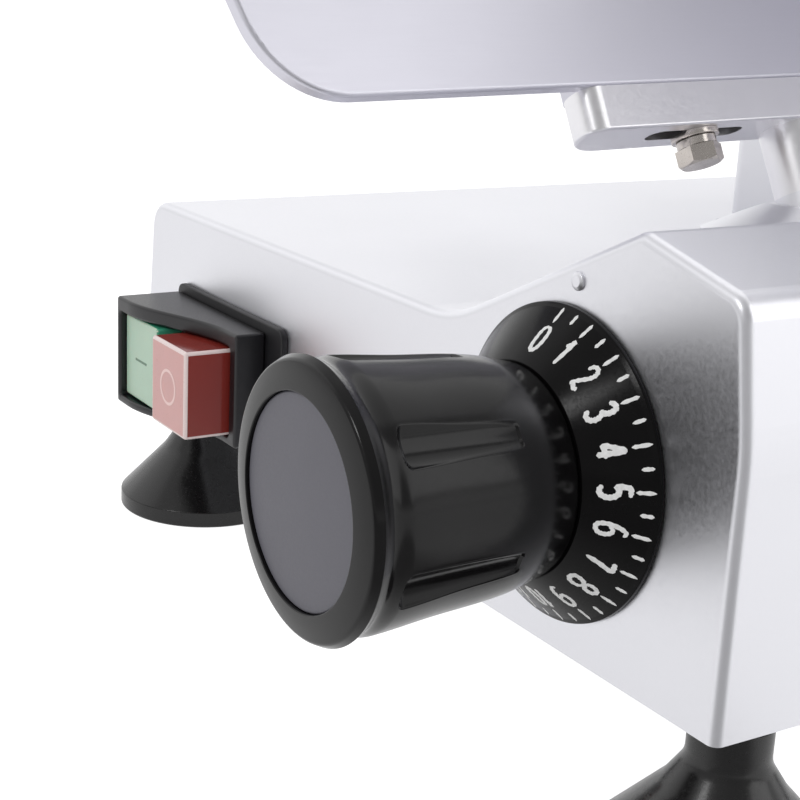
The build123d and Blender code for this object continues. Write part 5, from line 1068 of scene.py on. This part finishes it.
@dataclass
class KeptNodes:
    """CAD nodes that keep their shape: each gets its finish, and real edge rounding where it shows."""

    # Nodes that only get their finish
    plain: tuple[tuple[Finish, str], ...] = (
        (CAST_ALUMINIUM, "base_housing gauge_slider"),
        (POLISHED_ARM, "gauge_arm"),
        (ANODISED_PLATE, "gauge_plate"),
        (BRUSHED_SHEET, "bottom_cover"),
        (FASTENER_STEEL, "cover_screws foot_screws gauge_arm_bolt head_bolts blade_screws"),
        (MACHINED_ALUMINIUM, "scroll_plate guide_bar_brackets blade_hub blade_pulley motor_pulley"),
        (GROUND_BAR, "knob_spindle follower_pin gauge_guide_bar blade_bearings"),
        (GROUND_BAR, "motor_rotor tie_rod carriage_guide_bar"),
        (BLADE_STEEL, "blade"),
        (BEZEL_ABS, "switch_body"),
        (SINTERED_BRONZE, "spindle_bush"),
        (MOTOR_PAINT, "motor_body"),
        (BELT_RUBBER, "drive_belt"),
        (KNOB_PHENOLIC, "pusher_knob"),
    )
    # Nodes whose edges are rounded: width of the rounding in millimetres, and facets across it
    soft: tuple[tuple[str, Finish, float, int], ...] = (
        ("switch_gasket", SEAL_RUBBER, 0.4, 2),
        ("head_casting", CAST_ALUMINIUM, 1.0, 3),
        ("motor_cover", CAST_ALUMINIUM, 0.4, 2),
        ("ring_guard", ANODISED_PLATE, 0.5, 2),
        ("blade_cover", ANODISED_PLATE, 0.3, 2),
        ("slice_deflector", BRUSHED_SHEET, 0.2, 2),
        ("sharpener_housing", ANODISED_PLATE, 0.6, 2),
        ("grinding_stone", GRIT_STONE, 0.4, 2),
        ("stone_spindle", GROUND_BAR, 0.4, 2),
        ("carriage_slider", MACHINED_ALUMINIUM, 0.5, 2),
        ("carriage_arm", CAST_ALUMINIUM, 1.6, 3),
        ("product_tray", ANODISED_PLATE, 0.5, 2),
        ("tray_fence", ANODISED_PLATE, 0.7, 2),
        ("pusher_rod", GROUND_BAR, 0.5, 2),
        ("pusher_bush", ACETAL_WHITE, 0.3, 2),
        ("pusher_arm", CAST_ALUMINIUM, 1.2, 3),
        ("pusher_plate", ANODISED_PLATE, 0.4, 2),
        ("cable_gland", BEZEL_ABS, 0.5, 2),
    )

    def soften(self, node: str, finish: Finish, width_mm: float, segments: int) -> None:
        """Stand a copy with rounded edges in the place of a CAD node.

        Args:
            node: the CAD node.
            finish: its surface.
            width_mm: width of the rounding.
            segments: facets across the rounding.
        """
        name = f"{node}_softened"
        mesh = frame["nodes"][node].data.copy()
        mesh.name = name
        work = bmesh.new()
        work.from_mesh(mesh)
        bmesh.ops.remove_doubles(work, verts=work.verts, dist=2e-6)
        bmesh.ops.dissolve_limit(work, angle_limit=math.radians(0.6), verts=work.verts, edges=work.edges)
        work.to_mesh(mesh)
        work.free()
        piece = new_piece(name, mesh, finish, body_of_node(node), slot_of_node(node), node, 180.0)
        round_edges(piece, width_mm, segments)

    def build(self) -> None:
        """Dress or soften every node."""
        for finish, nodes in self.plain:
            for node in nodes.split():
                materials = frame["nodes"][node].data.materials
                materials.clear()
                materials.append(finish.make())
                log.info("node %s in %s", node, finish.name)
        for entry in self.soft:
            self.soften(*entry)


@dataclass
class Studio:
    """White floor, soft light and the camera at the photograph's angle."""

    lens: float = 72.86
    sensor: float = 36.0
    azimuth: float = math.radians(57.74)
    elevation: float = math.radians(15.88)
    roll: float = math.radians(2.79)
    place: Vector = field(default_factory=lambda: Vector((330.6, -354.9, 177.9)))
    floor_reach: float = 4000.0
    paper: float = 0.4
    seen_glow: float = 0.95
    mirrored_glow: float = 0.66
    # Painted dark reflection: how dimly the floor glows in front on the right, seen only in reflections, and
    # where
    painted_dark_reflection_glow: float = 0.02
    painted_dark_reflection_right: Point2 = (0.09, 0.17)
    painted_dark_reflection_near: Point2 = (-0.09, -0.15)
    sweep: float = 1.2
    sweep_front: float = 0.55
    sweep_tilt: float = 0.2
    sweep_top: Point2 = (0.20, 0.35)
    above_left: float = 0.85
    above_right: float = 0.35
    fill: float = 0.7
    above_span: Point2 = (-0.8, 0.8)
    front_span: Point2 = (-0.6, 0.1)
    aim: Vector = field(default_factory=lambda: Vector((0.03, -0.12, 0.09)))
    # Soft lights: name, place in metres, side in metres and power in watts
    boxes: tuple[tuple[str, tuple[float, float, float], float, float], ...] = (
        ("overhead_box", (-0.25, 0.40, 1.3), 1.4, 3.2),
        ("left_box", (-1.1, -0.9, 0.7), 1.2, 1.6),
        ("right_box", (1.0, 0.55, 0.75), 1.0, 4.5),
        ("front_strip", (0.13, -0.95, 0.69), 0.2, 1.2),
    )

    def build_camera(self) -> None:
        """Create the camera from azimuth, elevation and roll, and make it the scene's own."""
        az, el, roll = self.azimuth, self.elevation, self.roll
        forward = Vector((-math.cos(el) * math.sin(az), math.cos(el) * math.cos(az), -math.sin(el)))
        level = Vector((math.cos(az), math.sin(az), 0.0))
        over = level.cross(forward)
        right = level * math.cos(roll) + over * math.sin(roll)
        up = over * math.cos(roll) - level * math.sin(roll)
        data = bpy.data.cameras.new("camera")
        data.lens = self.lens
        data.sensor_width = data.sensor_height = self.sensor
        data.sensor_fit = "HORIZONTAL"
        data.clip_start = 0.01
        data.clip_end = 30.0
        camera = bpy.data.objects.new("camera", data)
        rotation = Matrix((right, up, -forward)).transposed().to_4x4()
        camera.matrix_world = Matrix.Translation(self.place * MM) @ rotation
        bpy.context.scene.collection.objects.link(camera)
        bpy.context.scene.camera = camera

    def build_floor(self) -> None:
        """White floor that meets the background without a line; in reflections only, a painted dark patch in
        front on the right darkens what it mirrors.
        """
        far = self.floor_reach
        corners = [Vector((x, y, -0.05)) for x, y in ((-far, -far), (far, -far), (far, far), (-far, far))]
        mesh = mesh_from("floor", corners, [(0, 1, 2, 3)])
        floor = bpy.data.objects.new("floor", mesh)
        bpy.context.scene.collection.objects.link(floor)
        material = bpy.data.materials.new("white_paper_sweep")
        material.use_nodes = True
        tree = material.node_tree
        tree.nodes.clear()
        paper = add_node(tree, "ShaderNodeBsdfDiffuse", {"Color": (self.paper, self.paper, self.paper, 1.0)})
        ray = add_node(tree, "ShaderNodeLightPath").outputs
        place = add_node(tree, "ShaderNodeTexCoord").outputs["Object"]
        split = add_node(tree, "ShaderNodeSeparateXYZ", {0: place}).outputs
        # Painted dark reflection: in front on the right the floor glows less for reflected rays
        right = ramp(tree, split["X"], self.painted_dark_reflection_right, (0.0, 1.0), "SMOOTHSTEP")
        near = ramp(tree, split["Y"], self.painted_dark_reflection_near, (0.0, 1.0), "SMOOTHSTEP")
        corner = work_out(tree, "MULTIPLY", right, near)
        mirrored = ramp(tree, corner, (0.0, 1.0), (self.mirrored_glow, self.painted_dark_reflection_glow))
        strength = ramp(tree, ray["Is Camera Ray"], (0.0, 1.0), (mirrored, self.seen_glow))
        glow = add_node(tree, "ShaderNodeEmission", {"Color": WHITE, "Strength": strength})
        both = add_node(tree, "ShaderNodeAddShader", {0: paper.outputs[0], 1: glow.outputs[0]})
        plain = add_node(tree, "ShaderNodeBsdfDiffuse", {"Color": (0.8, 0.8, 0.8, 1.0)})
        shown = work_out(tree, "MAXIMUM", ray["Is Camera Ray"], ray["Is Glossy Ray"])
        shown = work_out(tree, "MAXIMUM", shown, ray["Is Transmission Ray"])
        mixed = add_node(tree, "ShaderNodeMixShader", {0: shown, 1: plain.outputs[0], 2: both.outputs[0]})
        add_node(tree, "ShaderNodeOutputMaterial", {"Surface": mixed.outputs[0]})
        mesh.materials.append(material)

    def build_world(self) -> None:
        """White room: a bright low sweep behind and to the left, dimmer above, in front and to the right."""
        world = bpy.data.worlds.new("white_room")
        bpy.context.scene.world = world
        world.use_nodes = True
        tree = world.node_tree
        tree.nodes.clear()
        way = add_node(tree, "ShaderNodeTexCoord").outputs["Generated"]
        split = add_node(tree, "ShaderNodeSeparateXYZ", {0: way}).outputs
        tilted = work_out(tree, "MULTIPLY_ADD", split["X"], self.sweep_tilt, split["Z"])
        above = ramp(tree, split["X"], self.above_span, (self.above_left, self.above_right))
        low = ramp(tree, split["Y"], self.front_span, (self.sweep_front, self.sweep))
        room = ramp(tree, tilted, self.sweep_top, (low, above), "SMOOTHSTEP")
        ray = add_node(tree, "ShaderNodeLightPath").outputs
        mirrored = add_node(tree, "ShaderNodeMix", {0: ray["Is Glossy Ray"], 2: self.fill, 3: room})
        seen = work_out(tree, "MAXIMUM", ray["Is Camera Ray"], ray["Is Transmission Ray"])
        strength = add_node(tree, "ShaderNodeMix", {0: seen, 2: mirrored.outputs[0], 3: 1.0})
        white = add_node(tree, "ShaderNodeBackground", {"Color": WHITE, "Strength": strength.outputs[0]})
        add_node(tree, "ShaderNodeOutputWorld", {"Surface": white.outputs[0]})

    def build_lamps(self) -> None:
        """Hang the square soft lights, each facing the object."""
        for name, spot, size, power in self.boxes:
            data = bpy.data.lights.new(name, "AREA")
            data.energy = power
            data.size = size
            lamp = bpy.data.objects.new(name, data)
            place = Vector(spot)
            rotation = (self.aim - place).to_track_quat("-Z", "Y").to_matrix().to_4x4()
            lamp.matrix_world = Matrix.Translation(place) @ rotation
            bpy.context.scene.collection.objects.link(lamp)

    def build(self) -> None:
        """Build camera, floor, room and lamps."""
        self.build_camera()
        self.build_floor()
        self.build_world()
        self.build_lamps()
        bpy.context.scene.view_settings.view_transform = "Standard"


def main() -> None:
    """Build every sub-assembly in order and report each one."""
    logging.basicConfig(level=logging.INFO, format="%(name)s: %(message)s")
    for part in (Studio, KeptNodes, Feet, PushSwitch, Dial, Knob, GaugeBolt):
        part().build()
    StarKnob(
        "lock_knob_star", "carriage_lock_knob", "lock_knob",
        Vector((163.3, 117.0, 62.0)), Vector((1.0, 0.0, 0.0)),
        radius=15.0, length=20.0, lobes=5, cut=3.2, stud=39.9,
    ).build()
    StarKnob(
        "tie_knob_star", "tie_rod_knob", "tie_knob", BLADE_CENTRE - OUTWARD * 106.3, -OUTWARD,
        radius=13.0, length=18.0, lobes=8, cut=1.8, bore=4.2,
    ).build()
    Handle().build()
    log.info("sizes written")


if __name__ == "__main__":
    main()
